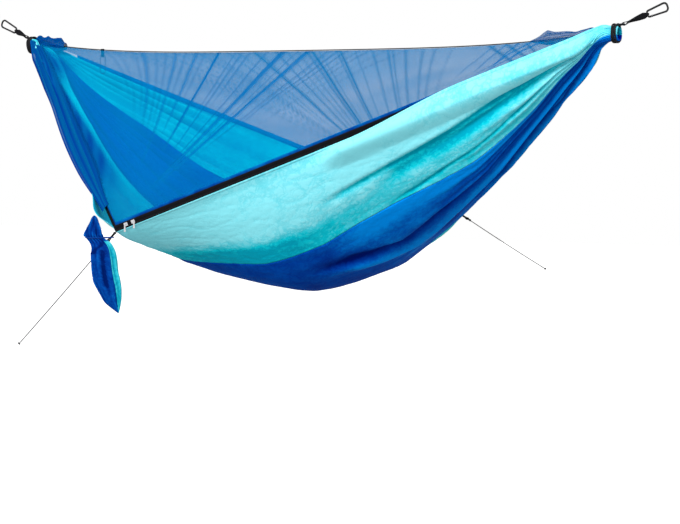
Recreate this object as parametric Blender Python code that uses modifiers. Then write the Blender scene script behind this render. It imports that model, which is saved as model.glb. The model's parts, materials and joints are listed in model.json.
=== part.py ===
"""Double hammock with a zipped insect net, slung between two carabiners.

Metres, +Z up, +X from the left carabiner to the right one, +Y away from the zipped side.
The world origin is the bearing point in the crown of the left carabiner.
The cloth is laid out from the middle of the span: w runs from -1 at the left gathered end
to +1 at the right one, and t runs from 0 at the zipped edge to 1 at the far edge.
"""
import math

import bmesh
import bpy
import numpy as np
from mathutils import Matrix, Vector, geometry

# Cloth as it hangs
END_SPACING = 2.0
CORNER_ALONG = 0.202
CORNER_OUT = 0.69
CORNER_DROP = 0.557
BELLY_DROP = 0.767
BELLY_POWER = 1.43
BELLY_SHIFT = 0.052
SECTION_POWER = 2.1
CENTRE_WIDTH = 0.70
SIDE_WIDTH = 0.35
CLOTH = 0.0012
SEAM_GAP = 0.0009

# Where the hung cloth has crept off even shares: place along, reach along, shift of the seam
NEAR_SEAM_SHIFTS = ((-0.40, 0.12, 0.13), (-0.76, 0.12, -0.16), (0.70, 0.20, 0.062))
FAR_SEAM_SHIFTS = ((-0.86, 0.17, -0.125), (-0.30, 0.15, 0.05))

# Folds that fan out from the gathered ends
FOLD_COUNT = 8
FOLD_DEPTH = 0.010
FOLD_START = 0.15
PLEAT_DEPTH = 0.0022
EDGE_CALM = 0.07
NECK_START = 0.88
NECK_RADIUS = 0.019
NECK_DROP = 0.012
NECK_WRAP = 150.0

# Lip of loose cloth that stands in front of the zip near the right end
LIP_START = 0.27
LIP_OUT_FULL = 0.34
LIP_RISE_FULL = 0.47
LIP_RISE = 0.022
LIP_OUT = 0.016
LIP_FOLD_OUT = 0.009
LIP_FOLD_DROP = 0.017

# Zip, borders and net
GAP = 0.00035
STRIP_END = 0.87
STRIP = 0.001
TAPE_HEIGHT = 0.0055
COIL_HEIGHT = 0.0021
COIL_THICKNESS = 0.002
COIL_GAP = 0.0017
NEAR_BORDER_HEIGHT = 0.012
FAR_BORDER_HEIGHT = 0.030
NET = 0.001
NET_SAG = 0.012
STOP_LENGTH = 0.006
STOP_THICKNESS = 0.0032

# Sliders and their pulls
SLIDER_LENGTH = 0.010
SLIDER_WIDTH = 0.0096
PLATE = 0.0011
POST_LENGTH = 0.003
BAIL_SPAN = 0.006
BAIL_RISE = 0.0032
BAIL_SHOULDER = 0.0026
BAIL_WIRE = 0.0007
PULL_LENGTH = 0.020
PULL_WIDTH = 0.0052
PULL_THICKNESS = 0.001
PULL_HOLE = 0.0012
PULL_RIM = 0.0013
LEFT_SLIDER_AT = 0.030
RIGHT_SLIDER_AT = 0.051

# Ridge line and the net gathered on it at both ends
RIDGE_SAG = 0.044
RIDGE_POWER = 3.8
RIDGE_CORD = 0.003
RIDGE_STRAIGHT_TO = 0.95
RIDGE_BEND_AT = 0.972
RIDGE_DIP_BACK = 0.0135
RIDGE_DIP = 0.0045
HOOD_OPENING = 0.013
HOOD_RADIUS = 0.0185
HOOD_SETBACK = 0.004
HOOD_END = 0.975
HOOD_FULL_BY = 0.77
HOOD_DRAWN_FROM = 0.6
HOOD_PLEATS = 7
HOOD_PLEAT = 0.12
LOOP_AT = -0.72
LOOP_DROP = 0.020
LOOP_WIDTH = 0.010
LOOP_WEB = 0.001
PENDANT_DROP = 0.045
PENDANT_CORD = 0.002
PENDANT_HALF_WIDTH = 0.0096
PENDANT_TOP_RISE = 0.0016

# Cord round each gathered end, and the webbing sling to the carabiner
BAND_CORD = 0.005
BAND_SETBACK = 0.010
BIGHT_REACH = 0.022
BIGHT_SPREAD = 0.42
BAND_SLACK = 0.0008
BAND_CROWDING = 0.6
LEFT_SLING = 0.050
RIGHT_SLING = 0.0725
LEFT_ANGLE = 26.0
RIGHT_ANGLE = 20.0
SLING_WIDTH = 0.018
SLING_NECK = 0.006
SLING_SHOULDER = 0.006
SLING_SPREAD_AT = 0.3
SLING_SPREAD = 0.010
SLING_SHOULDER_WIDTH = 0.0144
SLING_EYE_WIDTH = 0.0048
WEBBING = 0.0016
LOOSE = 0.0008

# Carabiner
HOOK_LENGTH = 0.066
HOOK_WIDE = 0.031
HOOK_NARROW = 0.0225
HOOK_BAR = 0.0058
WIDE_CORNER = 0.009
NARROW_CORNER = 0.005
PIN_AT = 0.011
PIN_RADIUS = 0.0009
PIN_SUNK = 0.0002
FREE = 0.0003
GATE_END = 0.049
GATE_RADIUS = 0.0027
KNUCKLE_HEIGHT = 0.0051
TONGUE = 0.0022
NOSE = 0.0014
NOSE_LENGTH = 0.0035
NOSE_FREE = 0.0005
NOSE_ROOM = 0.0008
SPRING_TURNS = 5
SPRING_WIRE = 0.0003
SPRING_RADIUS = 0.0009
SPRING_START = 0.0050
SPRING_END = 0.0105
SPRING_BORE = 0.0115
FORK_FLOOR = 0.0046
FLAT_LENGTH = 0.010
TONGUE_REACH = 0.0025

# Corner loops and guy lines
CORNER_LOOP = 0.032
CORNER_WEB = 0.008
CORNER_FOOT = 0.014
CORNER_TAPER = 0.010
GUY_CORD = 0.0025
NEAR_GUY_END = (-0.376, -0.900, -0.854)
FAR_GUY_END = (0.371, 1.000, -0.749)
KNOT = 0.0034
KNOT_SEAT = 0.0024
EYE_RING = 0.0062
EYE_HALF_WIDTH = 0.0071

# Stuff sack, whose drawcord bears on the loop's back edge and has room to swing in front
SACK_TURN = 28.0
SACK_CORD = 0.0025
SACK_CREASE = 0.08
SACK_STRAP = 0.0047
SACK_SIDE_ROOM = 0.0012
SACK_SWING_ROOM = 0.0030

HALF_SPAN = END_SPACING / 2
SIDE_SHARE = SIDE_WIDTH / (CENTRE_WIDTH + 2 * SIDE_WIDTH)
CORNER_W = CORNER_ALONG / HALF_SPAN
DENSE = np.linspace(0.0, 1.0, 81)
WELD = 0.000001
UP = Vector((0, 0, 1))

COLOURS = {
    "royal cloth": ((0.003, 0.085, 0.40), 0.55, 0.0),
    "aqua cloth": ((0.10, 0.62, 0.74), 0.50, 0.0),
    "royal net": ((0.02, 0.16, 0.50), 0.80, 0.0),
    "black webbing": ((0.012, 0.012, 0.014), 0.75, 0.0),
    "black cord": ((0.015, 0.015, 0.018), 0.70, 0.0),
    "black steel": ((0.010, 0.010, 0.011), 0.35, 0.6),
    "bright steel": ((0.70, 0.70, 0.72), 0.25, 1.0),
    "grey cord": ((0.10, 0.10, 0.11), 0.75, 0.0),
}


def clear_scene():
    """Start from an empty scene."""
    for item in list(bpy.data.objects):
        bpy.data.objects.remove(item)


def make_collection(name):
    """A collection linked to the scene."""
    collection = bpy.data.collections.new(name)
    bpy.context.scene.collection.children.link(collection)
    return collection


def make_paints():
    """One plain material for each finish."""
    paints = {}
    for name, (colour, roughness, metallic) in COLOURS.items():
        paint = bpy.data.materials.new(name)
        paint.use_nodes = True
        shader = paint.node_tree.nodes["Principled BSDF"]
        shader.inputs["Base Color"].default_value = (*colour, 1.0)
        shader.inputs["Roughness"].default_value = roughness
        shader.inputs["Metallic"].default_value = metallic
        paints[name] = paint
    return paints


clear_scene()
PIECES = make_collection("Double hammock")
CUTTERS = make_collection("Cutters")
PAINTS = make_paints()


def smoothstep(value):
    """Ease from 0 to 1 over the same stretch of value."""
    value = min(max(value, 0.0), 1.0)
    return value * value * (3 - 2 * value)


def add_empty(name, matrix, parent=None):
    """A guide that carries a group of pieces."""
    empty = bpy.data.objects.new(name, None)
    empty.matrix_local = matrix
    empty.parent = parent
    PIECES.objects.link(empty)
    return empty


def add_object(name, data, paint, parent, matrix=None):
    """A piece with its paint, placed under its parent."""
    piece = bpy.data.objects.new(name, data)
    if paint is not None:
        data.materials.append(PAINTS[paint])
    piece.parent = parent
    piece.matrix_local = matrix or Matrix.Identity(4)
    PIECES.objects.link(piece)
    return piece


def make_cutter(piece):
    """Move a shape to the cutters, where it is drawn as wire and left out."""
    for collection in list(piece.users_collection):
        collection.objects.unlink(piece)
    CUTTERS.objects.link(piece)
    piece.hide_render = True
    piece.display_type = 'WIRE'
    return piece


def combine(piece, other, operation):
    """Cut or join one shape with another."""
    step = piece.modifiers.new(operation.title(), 'BOOLEAN')
    step.operation = operation
    step.solver = 'EXACT'
    step.object = make_cutter(other)


def frame_matrix(origin, along, normal):
    """Placement with X along a direction and Z as near to a normal as it can be."""
    x_axis = Vector(along).normalized()
    z_axis = Vector(normal)
    z_axis = (z_axis - x_axis * z_axis.dot(x_axis)).normalized()
    y_axis = z_axis.cross(x_axis)
    matrix = Matrix((x_axis, y_axis, z_axis)).transposed().to_4x4()
    matrix.translation = Vector(origin)
    return matrix


def bmesh_object(name, grid, paint, parent, matrix=None, smooth=False):
    """Turn a finished bmesh into a piece."""
    mesh = bpy.data.meshes.new(name)
    grid.to_mesh(mesh)
    grid.free()
    if smooth:
        mesh.shade_smooth()
        mesh.set_sharp_from_angle(angle=math.radians(40))
    return add_object(name, mesh, paint, parent, matrix)


def block(name, size, centre, paint, parent, matrix=None):
    """A box of a size round a centre."""
    grid = bmesh.new()
    placing = Matrix.Translation(centre) @ Matrix.Diagonal((*size, 1))
    bmesh.ops.create_cube(grid, size=1.0, matrix=placing)
    return bmesh_object(name, grid, paint, parent, matrix)


def rod(name, radius, length, placing, sides, paint, parent, matrix=None):
    """A round bar whose length runs along the placing's Z from its origin."""
    grid = bmesh.new()
    shifted = placing @ Matrix.Translation((0, 0, length / 2))
    bmesh.ops.create_cone(grid, cap_ends=True, segments=sides, radius1=radius,
                          radius2=radius, depth=length, matrix=shifted)
    return bmesh_object(name, grid, paint, parent, matrix, smooth=True)


def grid_solid(name, points, thickness, paint, parent, wrap=False, matrix=None):
    """A sheet through a grid of points, thickened; wrap joins its last column to its first."""
    columns = len(points) - 1
    rows = len(points[0]) - 1
    grid = bmesh.new()
    bmesh.ops.create_grid(grid, x_segments=columns, y_segments=rows, size=1.0)
    for vertex in grid.verts:
        column = round((vertex.co.x + 1) / 2 * columns)
        row = round((vertex.co.y + 1) / 2 * rows)
        vertex.co = points[column][row]
    if wrap:
        bmesh.ops.remove_doubles(grid, verts=grid.verts, dist=WELD)
    piece = bmesh_object(name, grid, paint, parent, matrix, smooth=True)
    thicken = piece.modifiers.new("Thickness", 'SOLIDIFY')
    thicken.thickness = thickness
    thicken.offset = 0
    return piece


def cord(name, points, diameter, paint, parent, closed=False, sides=2, matrix=None):
    """A cord, wire or bar through points, with filled ends."""
    curve = bpy.data.curves.new(name, 'CURVE')
    curve.dimensions = '3D'
    curve.bevel_depth = diameter / 2
    curve.bevel_resolution = sides
    curve.use_fill_caps = True
    spline = curve.splines.new('POLY')
    spline.points.add(len(points) - 1)
    for place, point in zip(spline.points, points):
        place.co = (*point, 1)
    spline.use_cyclic_u = closed
    return add_object(name, curve, paint, parent, matrix)


def as_mesh(piece, paint):
    """Replace a curve by its mesh, with the loose caps welded on."""
    depsgraph = bpy.context.evaluated_depsgraph_get()
    mesh = bpy.data.meshes.new_from_object(piece.evaluated_get(depsgraph))
    grid = bmesh.new()
    grid.from_mesh(mesh)
    bmesh.ops.remove_doubles(grid, verts=grid.verts, dist=WELD)
    grid.to_mesh(mesh)
    grid.free()
    mesh.materials.clear()
    name = piece.name
    parent = piece.parent
    matrix = piece.matrix_local.copy()
    bpy.data.objects.remove(piece)
    mesh.shade_smooth()
    return add_object(name, mesh, paint, parent, matrix)


def smooth_route(points, count):
    """Even points on a smooth curve through a few chosen ones."""
    points = [Vector(point) for point in points]
    dense = []
    for index in range(len(points) - 1):
        before = points[max(index - 1, 0)]
        start = points[index]
        end = points[index + 1]
        after = points[min(index + 2, len(points) - 1)]
        for step in range(12):
            share = step / 12
            dense.append(catmull_rom(before, start, end, after, share))
    dense.append(points[-1])
    lengths = [0.0]
    for index in range(1, len(dense)):
        lengths.append(lengths[-1] + (dense[index] - dense[index - 1]).length)
    marks = np.linspace(0, lengths[-1], count)
    columns = [np.interp(marks, lengths, [point[axis] for point in dense]) for axis in range(3)]
    return [Vector(values) for values in zip(*columns)]


def catmull_rom(before, start, end, after, share):
    """Point on the curve between start and end."""
    square = share * share
    cube = square * share
    return 0.5 * (2 * start + (end - before) * share
                  + (2 * before - 5 * start + 4 * end - after) * square
                  + (3 * start - before - 3 * end + after) * cube)


# Layout of the span: every place below is measured from the middle of the span

def sling_direction(side):
    """Way that a sling and its carabiner pull, side -1 at the left and 1 at the right."""
    angle = math.radians(LEFT_ANGLE if side < 0 else RIGHT_ANGLE)
    return Vector((side * math.cos(angle), 0, math.sin(angle)))


def band_radius():
    """Radius of the cord's centre line round a gathered end."""
    return NECK_RADIUS + PLEAT_DEPTH + CLOTH / 2 + BAND_SLACK + BAND_CORD / 2


def bight_point(side):
    """Where the cord round a gathered end stands out for the sling."""
    reach = HALF_SPAN - BAND_SETBACK + BIGHT_REACH
    return Vector((side * reach, 0, band_radius() - NECK_DROP))


def narrow_bar_point(side):
    """Centre of the carabiner's narrow bar, which the sling goes round."""
    length = LEFT_SLING if side < 0 else RIGHT_SLING
    return bight_point(side) + sling_direction(side) * length


def hang_point(side):
    """Bearing point inside the carabiner's crown."""
    return narrow_bar_point(side) + sling_direction(side) * (HOOK_LENGTH - 1.5 * HOOK_BAR)


# Everything hangs from the left bearing point, which is the world's origin
SPAN = add_empty("middle_of_span", Matrix.Translation(-hang_point(-1)))


# Cloth surface

def edge_point(w, side):
    """Point of the straight edge: side -1 is the zipped edge, 1 the far edge."""
    corner = side * CORNER_W
    reach = (w + 1) / (corner + 1) if w < corner else (1 - w) / (1 - corner)
    return np.array((w * HALF_SPAN, side * CORNER_OUT * reach, -CORNER_DROP * reach))


def neck_share(w):
    """How far the section has closed into the gathered neck."""
    return smoothstep((abs(w) - NECK_START) / (1 - NECK_START))


def section_curve(w):
    """The cloth's section at one station, from the zipped edge to the far edge."""
    near = edge_point(w, -1)
    far = edge_point(w, 1)
    along = min(abs(w - BELLY_SHIFT * (1 - w * w)), 1.0)
    belly = np.array((w * HALF_SPAN, 0.0, -BELLY_DROP * (1 - along ** BELLY_POWER)))
    middle = (near + far) / 2
    across = np.cos(np.pi * DENSE)
    depth = np.maximum(1 - across ** 2, 0) ** (SECTION_POWER / 2)
    body = middle + np.outer(across, (near - far) / 2) + np.outer(depth, belly - middle)
    turn = (2 * DENSE - 1) * math.radians(NECK_WRAP)
    neck = np.stack([np.full_like(turn, w * HALF_SPAN), NECK_RADIUS * np.sin(turn),
                     -NECK_DROP - NECK_RADIUS * np.cos(turn)], axis=1)
    share = neck_share(w)
    return body * (1 - share) + neck * share


def along_section(curve, shares):
    """Points at shares of the section's length."""
    steps = np.linalg.norm(np.diff(curve, axis=0), axis=1)
    lengths = np.concatenate([[0.0], np.cumsum(steps)])
    lengths /= lengths[-1]
    return np.stack([np.interp(shares, lengths, curve[:, axis]) for axis in range(3)], axis=1)


def section_length(w):
    """Length of the section at a station."""
    return np.linalg.norm(np.diff(section_curve(w), axis=0), axis=1).sum()


def seam_share(w, even_share, shifts):
    """Share of the hung section at which a seam lies."""
    return even_share + sum(shift * math.exp(-((w - place) / reach) ** 2)
                            for place, reach, shift in shifts)


def hung_shares(w, cuts):
    """Shares of the hung section for shares of the cut width."""
    near = seam_share(w, SIDE_SHARE, NEAR_SEAM_SHIFTS)
    far = seam_share(w, 1 - SIDE_SHARE, FAR_SEAM_SHIFTS)
    return np.interp(cuts, (0, SIDE_SHARE, 1 - SIDE_SHARE, 1), (0, near, far, 1))


def fold_height(w, cut):
    """How far a fold lifts the cloth off its smooth surface."""
    neck = neck_share(w)
    fan = smoothstep((abs(w) - FOLD_START) / (NECK_START - FOLD_START))
    depth = FOLD_DEPTH * fan * (1 - neck) + PLEAT_DEPTH * neck
    calm = smoothstep(min(cut, 1 - cut) / EDGE_CALM)
    return depth * calm * math.sin(2 * math.pi * FOLD_COUNT * cut)


def lip_place(w, row, point):
    """Where the loose lip takes the near panel's first two rows, out and up past the zip."""
    edge = edge_point(w, -1)
    outward = np.array(zip_outward())
    out = smoothstep((w - LIP_START) / (LIP_OUT_FULL - LIP_START)) * (1 - neck_share(w))
    rise = smoothstep((w - LIP_OUT_FULL) / (LIP_RISE_FULL - LIP_OUT_FULL)) * (1 - neck_share(w))
    if row == 0:
        return point + outward * LIP_OUT * out + np.array((0, 0, LIP_RISE * rise))
    folded = edge + outward * LIP_FOLD_OUT - np.array((0, 0, LIP_FOLD_DROP))
    return point + (folded - point) * out


def panel_rows(w, cuts, shares, lip=False):
    """Points of a panel at one station, with its folds."""
    step = 0.004
    here = along_section(section_curve(w), shares)
    ahead = along_section(section_curve(min(w + step, 1.0)), shares)
    behind = along_section(section_curve(max(w - step, -1.0)), shares)
    right = along_section(section_curve(w), np.minimum(shares + step, 1.0))
    left = along_section(section_curve(w), np.maximum(shares - step, 0.0))
    rows = []
    for index, cut in enumerate(cuts):
        normal = np.cross(ahead[index] - behind[index], right[index] - left[index])
        normal /= np.linalg.norm(normal)
        point = here[index] + normal * fold_height(w, cut)
        if lip and index < 2:
            point = lip_place(w, index, point)
        rows.append(point)
    return rows


def stations(neck, long_side, middle, start=-1.0, end=1.0):
    """Stations that meet both corners and both ends of the strips."""
    marks = [-1.0, -STRIP_END, -CORNER_W, CORNER_W, STRIP_END, 1.0]
    counts = [neck, long_side, middle, long_side, neck]
    places = [-1.0]
    for first, last, count in zip(marks, marks[1:], counts):
        places += list(np.linspace(first, last, count + 1)[1:])
    return [w for w in places if start - WELD <= w <= end + WELD]


def make_panel(name, first, last, rows, paint, lip=False):
    """A cloth panel between two shares of the cut width, kept off its seams."""
    cuts = np.linspace(first, last, rows + 1)
    points = []
    for w in stations(5, 10, 5):
        shares = hung_shares(w, cuts)
        inset = SEAM_GAP / 2 / section_length(w)
        shares[0] += inset if first > 0 else 0
        shares[-1] -= inset if last < 1 else 0
        points.append(panel_rows(w, cuts, shares, lip))
    return grid_solid(name, points, CLOTH, paint, SPAN)


def make_cloth():
    """Three panels side by side."""
    make_panel("near_panel", 0.0, SIDE_SHARE, 8, "aqua cloth", lip=True)
    make_panel("centre_panel", SIDE_SHARE, 1 - SIDE_SHARE, 16, "royal cloth")
    make_panel("far_panel", 1 - SIDE_SHARE, 1.0, 8, "aqua cloth")


# Zip and borders

def near_corner():
    """Pulled-out corner of the zipped edge."""
    return Vector(edge_point(-CORNER_W, -1))


def far_corner():
    """Pulled-out corner of the far edge."""
    return Vector(edge_point(CORNER_W, 1))


def zip_along():
    """Way the zip runs from the near corner to the right end."""
    return (Vector((HALF_SPAN, 0, 0)) - near_corner()).normalized()


def zip_outward():
    """Level way out of the zip's face, towards the zipped side."""
    return zip_along().cross(UP).normalized()


LOWER_TAPE_LOW = CLOTH / 2 + GAP
LOWER_COIL_LOW = LOWER_TAPE_LOW + TAPE_HEIGHT + GAP
UPPER_COIL_LOW = LOWER_COIL_LOW + COIL_HEIGHT + COIL_GAP
UPPER_TAPE_LOW = UPPER_COIL_LOW + COIL_HEIGHT + GAP
NEAR_BORDER_LOW = UPPER_TAPE_LOW + TAPE_HEIGHT + GAP
NEAR_NET_LOW = NEAR_BORDER_LOW + NEAR_BORDER_HEIGHT + GAP + NET / 2
FAR_BORDER_LOW = CLOTH / 2 + GAP
FAR_NET_LOW = FAR_BORDER_LOW + FAR_BORDER_HEIGHT + GAP + NET / 2


def make_strip(name, side, low, height, thickness, paint, columns=(10, 5)):
    """A strip that stands on an edge from one end of the net to the other."""
    points = []
    for w in stations(5, *columns, start=-STRIP_END, end=STRIP_END):
        foot = edge_point(w, side)
        points.append([foot + (0, 0, low), foot + (0, 0, low + height)])
    return grid_solid(name, points, thickness, paint, SPAN)


def make_strips():
    """Zip tapes, coils and the coloured borders that carry the net."""
    make_strip("zip_lower_tape", -1, LOWER_TAPE_LOW, TAPE_HEIGHT, STRIP, "black webbing")
    make_strip("zip_lower_coil", -1, LOWER_COIL_LOW, COIL_HEIGHT, COIL_THICKNESS, "black webbing")
    make_strip("zip_upper_coil", -1, UPPER_COIL_LOW, COIL_HEIGHT, COIL_THICKNESS, "black webbing")
    make_strip("zip_upper_tape", -1, UPPER_TAPE_LOW, TAPE_HEIGHT, STRIP, "black webbing")
    make_strip("near_border", -1, NEAR_BORDER_LOW, NEAR_BORDER_HEIGHT, STRIP, "royal cloth")
    make_strip("far_border", 1, FAR_BORDER_LOW, FAR_BORDER_HEIGHT, STRIP, "royal cloth")


def make_stop(name, side):
    """A clip over both coils at one end of the zip."""
    points = []
    for distance in (GAP, GAP + STOP_LENGTH):
        foot = edge_point(side * (STRIP_END + distance / HALF_SPAN), -1)
        points.append([foot + (0, 0, LOWER_COIL_LOW - GAP), foot + (0, 0, UPPER_TAPE_LOW)])
    return grid_solid(name, points, STOP_THICKNESS, "bright steel", SPAN)


# Sliders

def slider_matrix(distance):
    """Placement of a slider on the zip: X along it, Y up across it, Z out of its face."""
    middle = (LOWER_COIL_LOW + UPPER_TAPE_LOW - GAP) / 2
    place = near_corner() + zip_along() * distance + UP * middle
    return frame_matrix(place, zip_along(), zip_outward())


def make_slider_plate(name, layer, slope, carrier):
    """One plate with its two flanges, on one face of the zip."""
    inner = COIL_THICKNESS / 2 + GAP
    face = inner + PLATE
    lip = STRIP / 2 + GAP
    half = SLIDER_WIDTH / 2
    wall = (COIL_GAP / 2 + COIL_HEIGHT) * slope + GAP
    outline = [(-half, lip), (-half, face), (half, face), (half, lip),
               (wall, lip), (wall, inner), (-wall, inner), (-wall, lip)]
    outline = [(across, layer * out) for across, out in outline]
    upright = Matrix(((0, 0, 1, 0), (1, 0, 0, 0), (0, 1, 0, 0), (0, 0, 0, 1)))
    plate = plate_outline(name, [outline], SLIDER_LENGTH, None, carrier, upright)
    return as_mesh(plate, "bright steel" if layer > 0 else None)


def make_slider(name, side, distance):
    """Two plates joined by a post between the coils, with flanges and a bail.

    Side is -1 for the slider whose pull hangs on the bail's left leg and 1 for the right leg.
    """
    carrier = add_empty(name + "_path", slider_matrix(distance), SPAN)
    inner = COIL_THICKNESS / 2 + GAP
    face = inner + PLATE
    slope = math.cos(math.asin(zip_along().z))
    body = make_slider_plate(name, 1, slope, carrier)
    back = make_slider_plate(name + "_back", -1, slope, carrier)
    post_width = COIL_GAP * slope - 2 * FREE
    post = block(name + "_post", (POST_LENGTH, post_width, 2 * face - PLATE), (0, 0, 0), None, carrier)
    combine(body, post, 'UNION')
    combine(body, back, 'UNION')
    route = [(-BAIL_SPAN / 2, 0, face - PLATE / 2), (-BAIL_SPAN / 2, 0, face + BAIL_SHOULDER),
             (-BAIL_SPAN / 4, 0, face + BAIL_RISE), (BAIL_SPAN / 4, 0, face + BAIL_RISE),
             (BAIL_SPAN / 2, 0, face + BAIL_SHOULDER), (BAIL_SPAN / 2, 0, face - PLATE / 2)]
    bail = as_mesh(cord(name + "_bail", route, 2 * BAIL_WIRE, None, carrier, sides=1), None)
    combine(body, bail, 'UNION')
    make_pull(name + "_pull", side, distance, face)
    return body


def arc_points(centre, radius, start, end, steps):
    """Points on a flat arc, angles in degrees."""
    points = []
    for index in range(steps + 1):
        angle = math.radians(start + (end - start) * index / steps)
        points.append((centre[0] + radius * math.cos(angle), centre[1] + radius * math.sin(angle)))
    return points


def plate_outline(name, outlines, thickness, paint, parent, matrix):
    """A flat plate from an outer outline and its holes."""
    curve = bpy.data.curves.new(name, 'CURVE')
    curve.dimensions = '2D'
    curve.fill_mode = 'BOTH'
    curve.extrude = thickness / 2
    for outline in outlines:
        spline = curve.splines.new('POLY')
        spline.points.add(len(outline) - 1)
        for place, point in zip(spline.points, outline):
            place.co = (*point, 0, 1)
        spline.use_cyclic_u = True
    return add_object(name, curve, paint, parent, matrix)


def make_pull(name, side, distance, face):
    """A flat tab that hangs on one leg of the bail, down its own X."""
    placing = slider_matrix(distance)
    leg = placing @ Vector((side * BAIL_SPAN / 2, 0, face + 2 * FREE + PULL_THICKNESS / 2))
    hanging = frame_matrix(leg, -UP, zip_outward())
    eye = PULL_HOLE + PULL_RIM
    half = PULL_WIDTH / 2
    tip = PULL_LENGTH - half
    outline = arc_points((0, 0), eye, 40, 320, 12) + arc_points((tip, 0), half, -90, 90, 8)
    hole = arc_points((0, 0), PULL_HOLE, 0, 330, 11)
    tab = plate_outline(name, [outline, hole], PULL_THICKNESS, "bright steel", SPAN, hanging)
    return as_mesh(tab, "bright steel")


def make_zip():
    """The zip with both of its sliders parked by the near corner."""
    make_strips()
    make_stop("left_zip_stop", -1)
    make_stop("right_zip_stop", 1)
    make_slider("left_slider", -1, LEFT_SLIDER_AT)
    make_slider("right_slider", 1, RIGHT_SLIDER_AT)


# Net and ridge line

def ridge_height(w):
    """Height of the ridge line over the ends."""
    return -RIDGE_SAG * (1 - abs(w) ** RIDGE_POWER)


def ridge_point(w):
    """Point of the ridge line."""
    return np.array((w * HALF_SPAN, 0, ridge_height(w)))


def make_net(name, side, low, columns):
    """A net from an edge's border up to the ridge line."""
    points = []
    clear = RIDGE_CORD / 2 + LOOSE + LOOP_WEB + GAP + NET / 2
    rows = 7
    for w in stations(5, *columns, start=-STRIP_END, end=STRIP_END):
        foot = edge_point(w, side) + (0, 0, low)
        top = ridge_point(w)
        way = (foot - top) / np.linalg.norm(foot - top)
        top = top + way * clear
        column = []
        for row in range(rows + 1):
            share = row / rows
            point = foot + (top - foot) * share
            slack = NET_SAG * math.sin(math.pi * share) * (1 - w * w)
            column.append(point - (0, 0, slack))
        points.append(column)
    return grid_solid(name, points, NET, "royal net", SPAN)


def make_ridge():
    """The ridge line, tied to the eye of the sling at both ends."""
    ends = []
    eye = BAND_CORD / 2 + LOOSE + WEBBING + 2 * FREE
    for side in (-1, 1):
        bight = bight_point(side)
        ends.append([Vector(ridge_point(side * RIDGE_STRAIGHT_TO)),
                     Vector(ridge_point(side * RIDGE_BEND_AT)),
                     bight + Vector((-side * RIDGE_DIP_BACK, 0, -RIDGE_DIP)),
                     bight + Vector((-side * eye, 0, 0))])
    straight = np.linspace(-RIDGE_STRAIGHT_TO, RIDGE_STRAIGHT_TO, 25)
    middle = [Vector(ridge_point(w)) for w in straight]
    left = smooth_route(ends[0], 9)[::-1]
    right = smooth_route(ends[1], 9)
    cord("ridge_line", left + middle[1:-1] + right, RIDGE_CORD, "black cord", SPAN)


def make_hood(name, side):
    """The net gathered on the ridge line into a short pleated sleeve."""
    around = 3 * HOOD_PLEATS
    start = STRIP_END + HOOD_SETBACK
    bore = RIDGE_CORD / 2 + LOOSE + GAP + NET / 2
    points = []
    for step in range(around + 1):
        angle = 2 * math.pi * (step % around) / around
        pleat = 1 + HOOD_PLEAT * math.cos(HOOD_PLEATS * angle)
        ring = []
        for mark in np.linspace(0, 1, 7):
            w = side * (start + (HOOD_END - start) * mark)
            swell = math.sin(math.pi * min(mark / HOOD_FULL_BY, 1))
            open_radius = (HOOD_OPENING + (HOOD_RADIUS - HOOD_OPENING) * swell) * pleat
            drawn = smoothstep((mark - HOOD_DRAWN_FROM) / (1 - HOOD_DRAWN_FROM))
            radius = open_radius * (1 - drawn) + bore * drawn
            centre = Vector(ridge_point(w))
            ring.append(centre + Vector((0, radius * math.sin(angle), radius * math.cos(angle))))
        points.append(ring)
    return grid_solid(name, points, NET, "royal net", SPAN, wrap=True)


def make_ridge_loop():
    """A webbing loop on the ridge line with a thin cord pendant."""
    top = Vector(ridge_point(LOOP_AT))
    low = top - UP * LOOP_DROP
    make_webbing("ridge_loop", top, low, RIDGE_CORD / 2 + LOOSE, PENDANT_CORD / 2 + LOOSE,
                 Vector((1, 0, 0)), Vector((1, 0, 0)), [(0, LOOP_WIDTH)], LOOP_WEB)
    foot = low - UP * PENDANT_DROP
    path = []
    for place, rise, start in ((low, PENDANT_TOP_RISE, 0), (foot, PENDANT_HALF_WIDTH, 180)):
        for angle in range(start, start + 181, 30):
            turn = math.radians(angle)
            path.append(place + Vector((PENDANT_HALF_WIDTH * math.cos(turn), 0, rise * math.sin(turn))))
    cord("ridge_pendant", path, PENDANT_CORD, "black cord", SPAN, closed=True)


# Webbing loops, end cords and slings

def leg_offset(place, length, start_radius, end_radius, middle):
    """How far each leg of a loop lies from its centre line."""
    near_start = 1 - smoothstep(place / (4 * start_radius))
    near_end = 1 - smoothstep((length - place) / (4 * end_radius))
    return middle + (start_radius - middle) * near_start + (end_radius - middle) * near_end


def loop_profile(length, start_radius, end_radius, middle, leg_steps=9, turn_steps=6):
    """Flat outline of a loop round two bars: along and off its centre line."""
    outline = []
    for step in range(turn_steps + 1):
        angle = math.radians(90 + 180 * step / turn_steps)
        outline.append((start_radius * math.cos(angle), start_radius * math.sin(angle)))
    for step in range(1, leg_steps):
        place = length * step / leg_steps
        outline.append((place, -leg_offset(place, length, start_radius, end_radius, middle)))
    for step in range(turn_steps + 1):
        angle = math.radians(-90 + 180 * step / turn_steps)
        outline.append((length + end_radius * math.cos(angle), end_radius * math.sin(angle)))
    for step in range(leg_steps - 1, 0, -1):
        place = length * step / leg_steps
        outline.append((place, leg_offset(place, length, start_radius, end_radius, middle)))
    return outline


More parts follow.
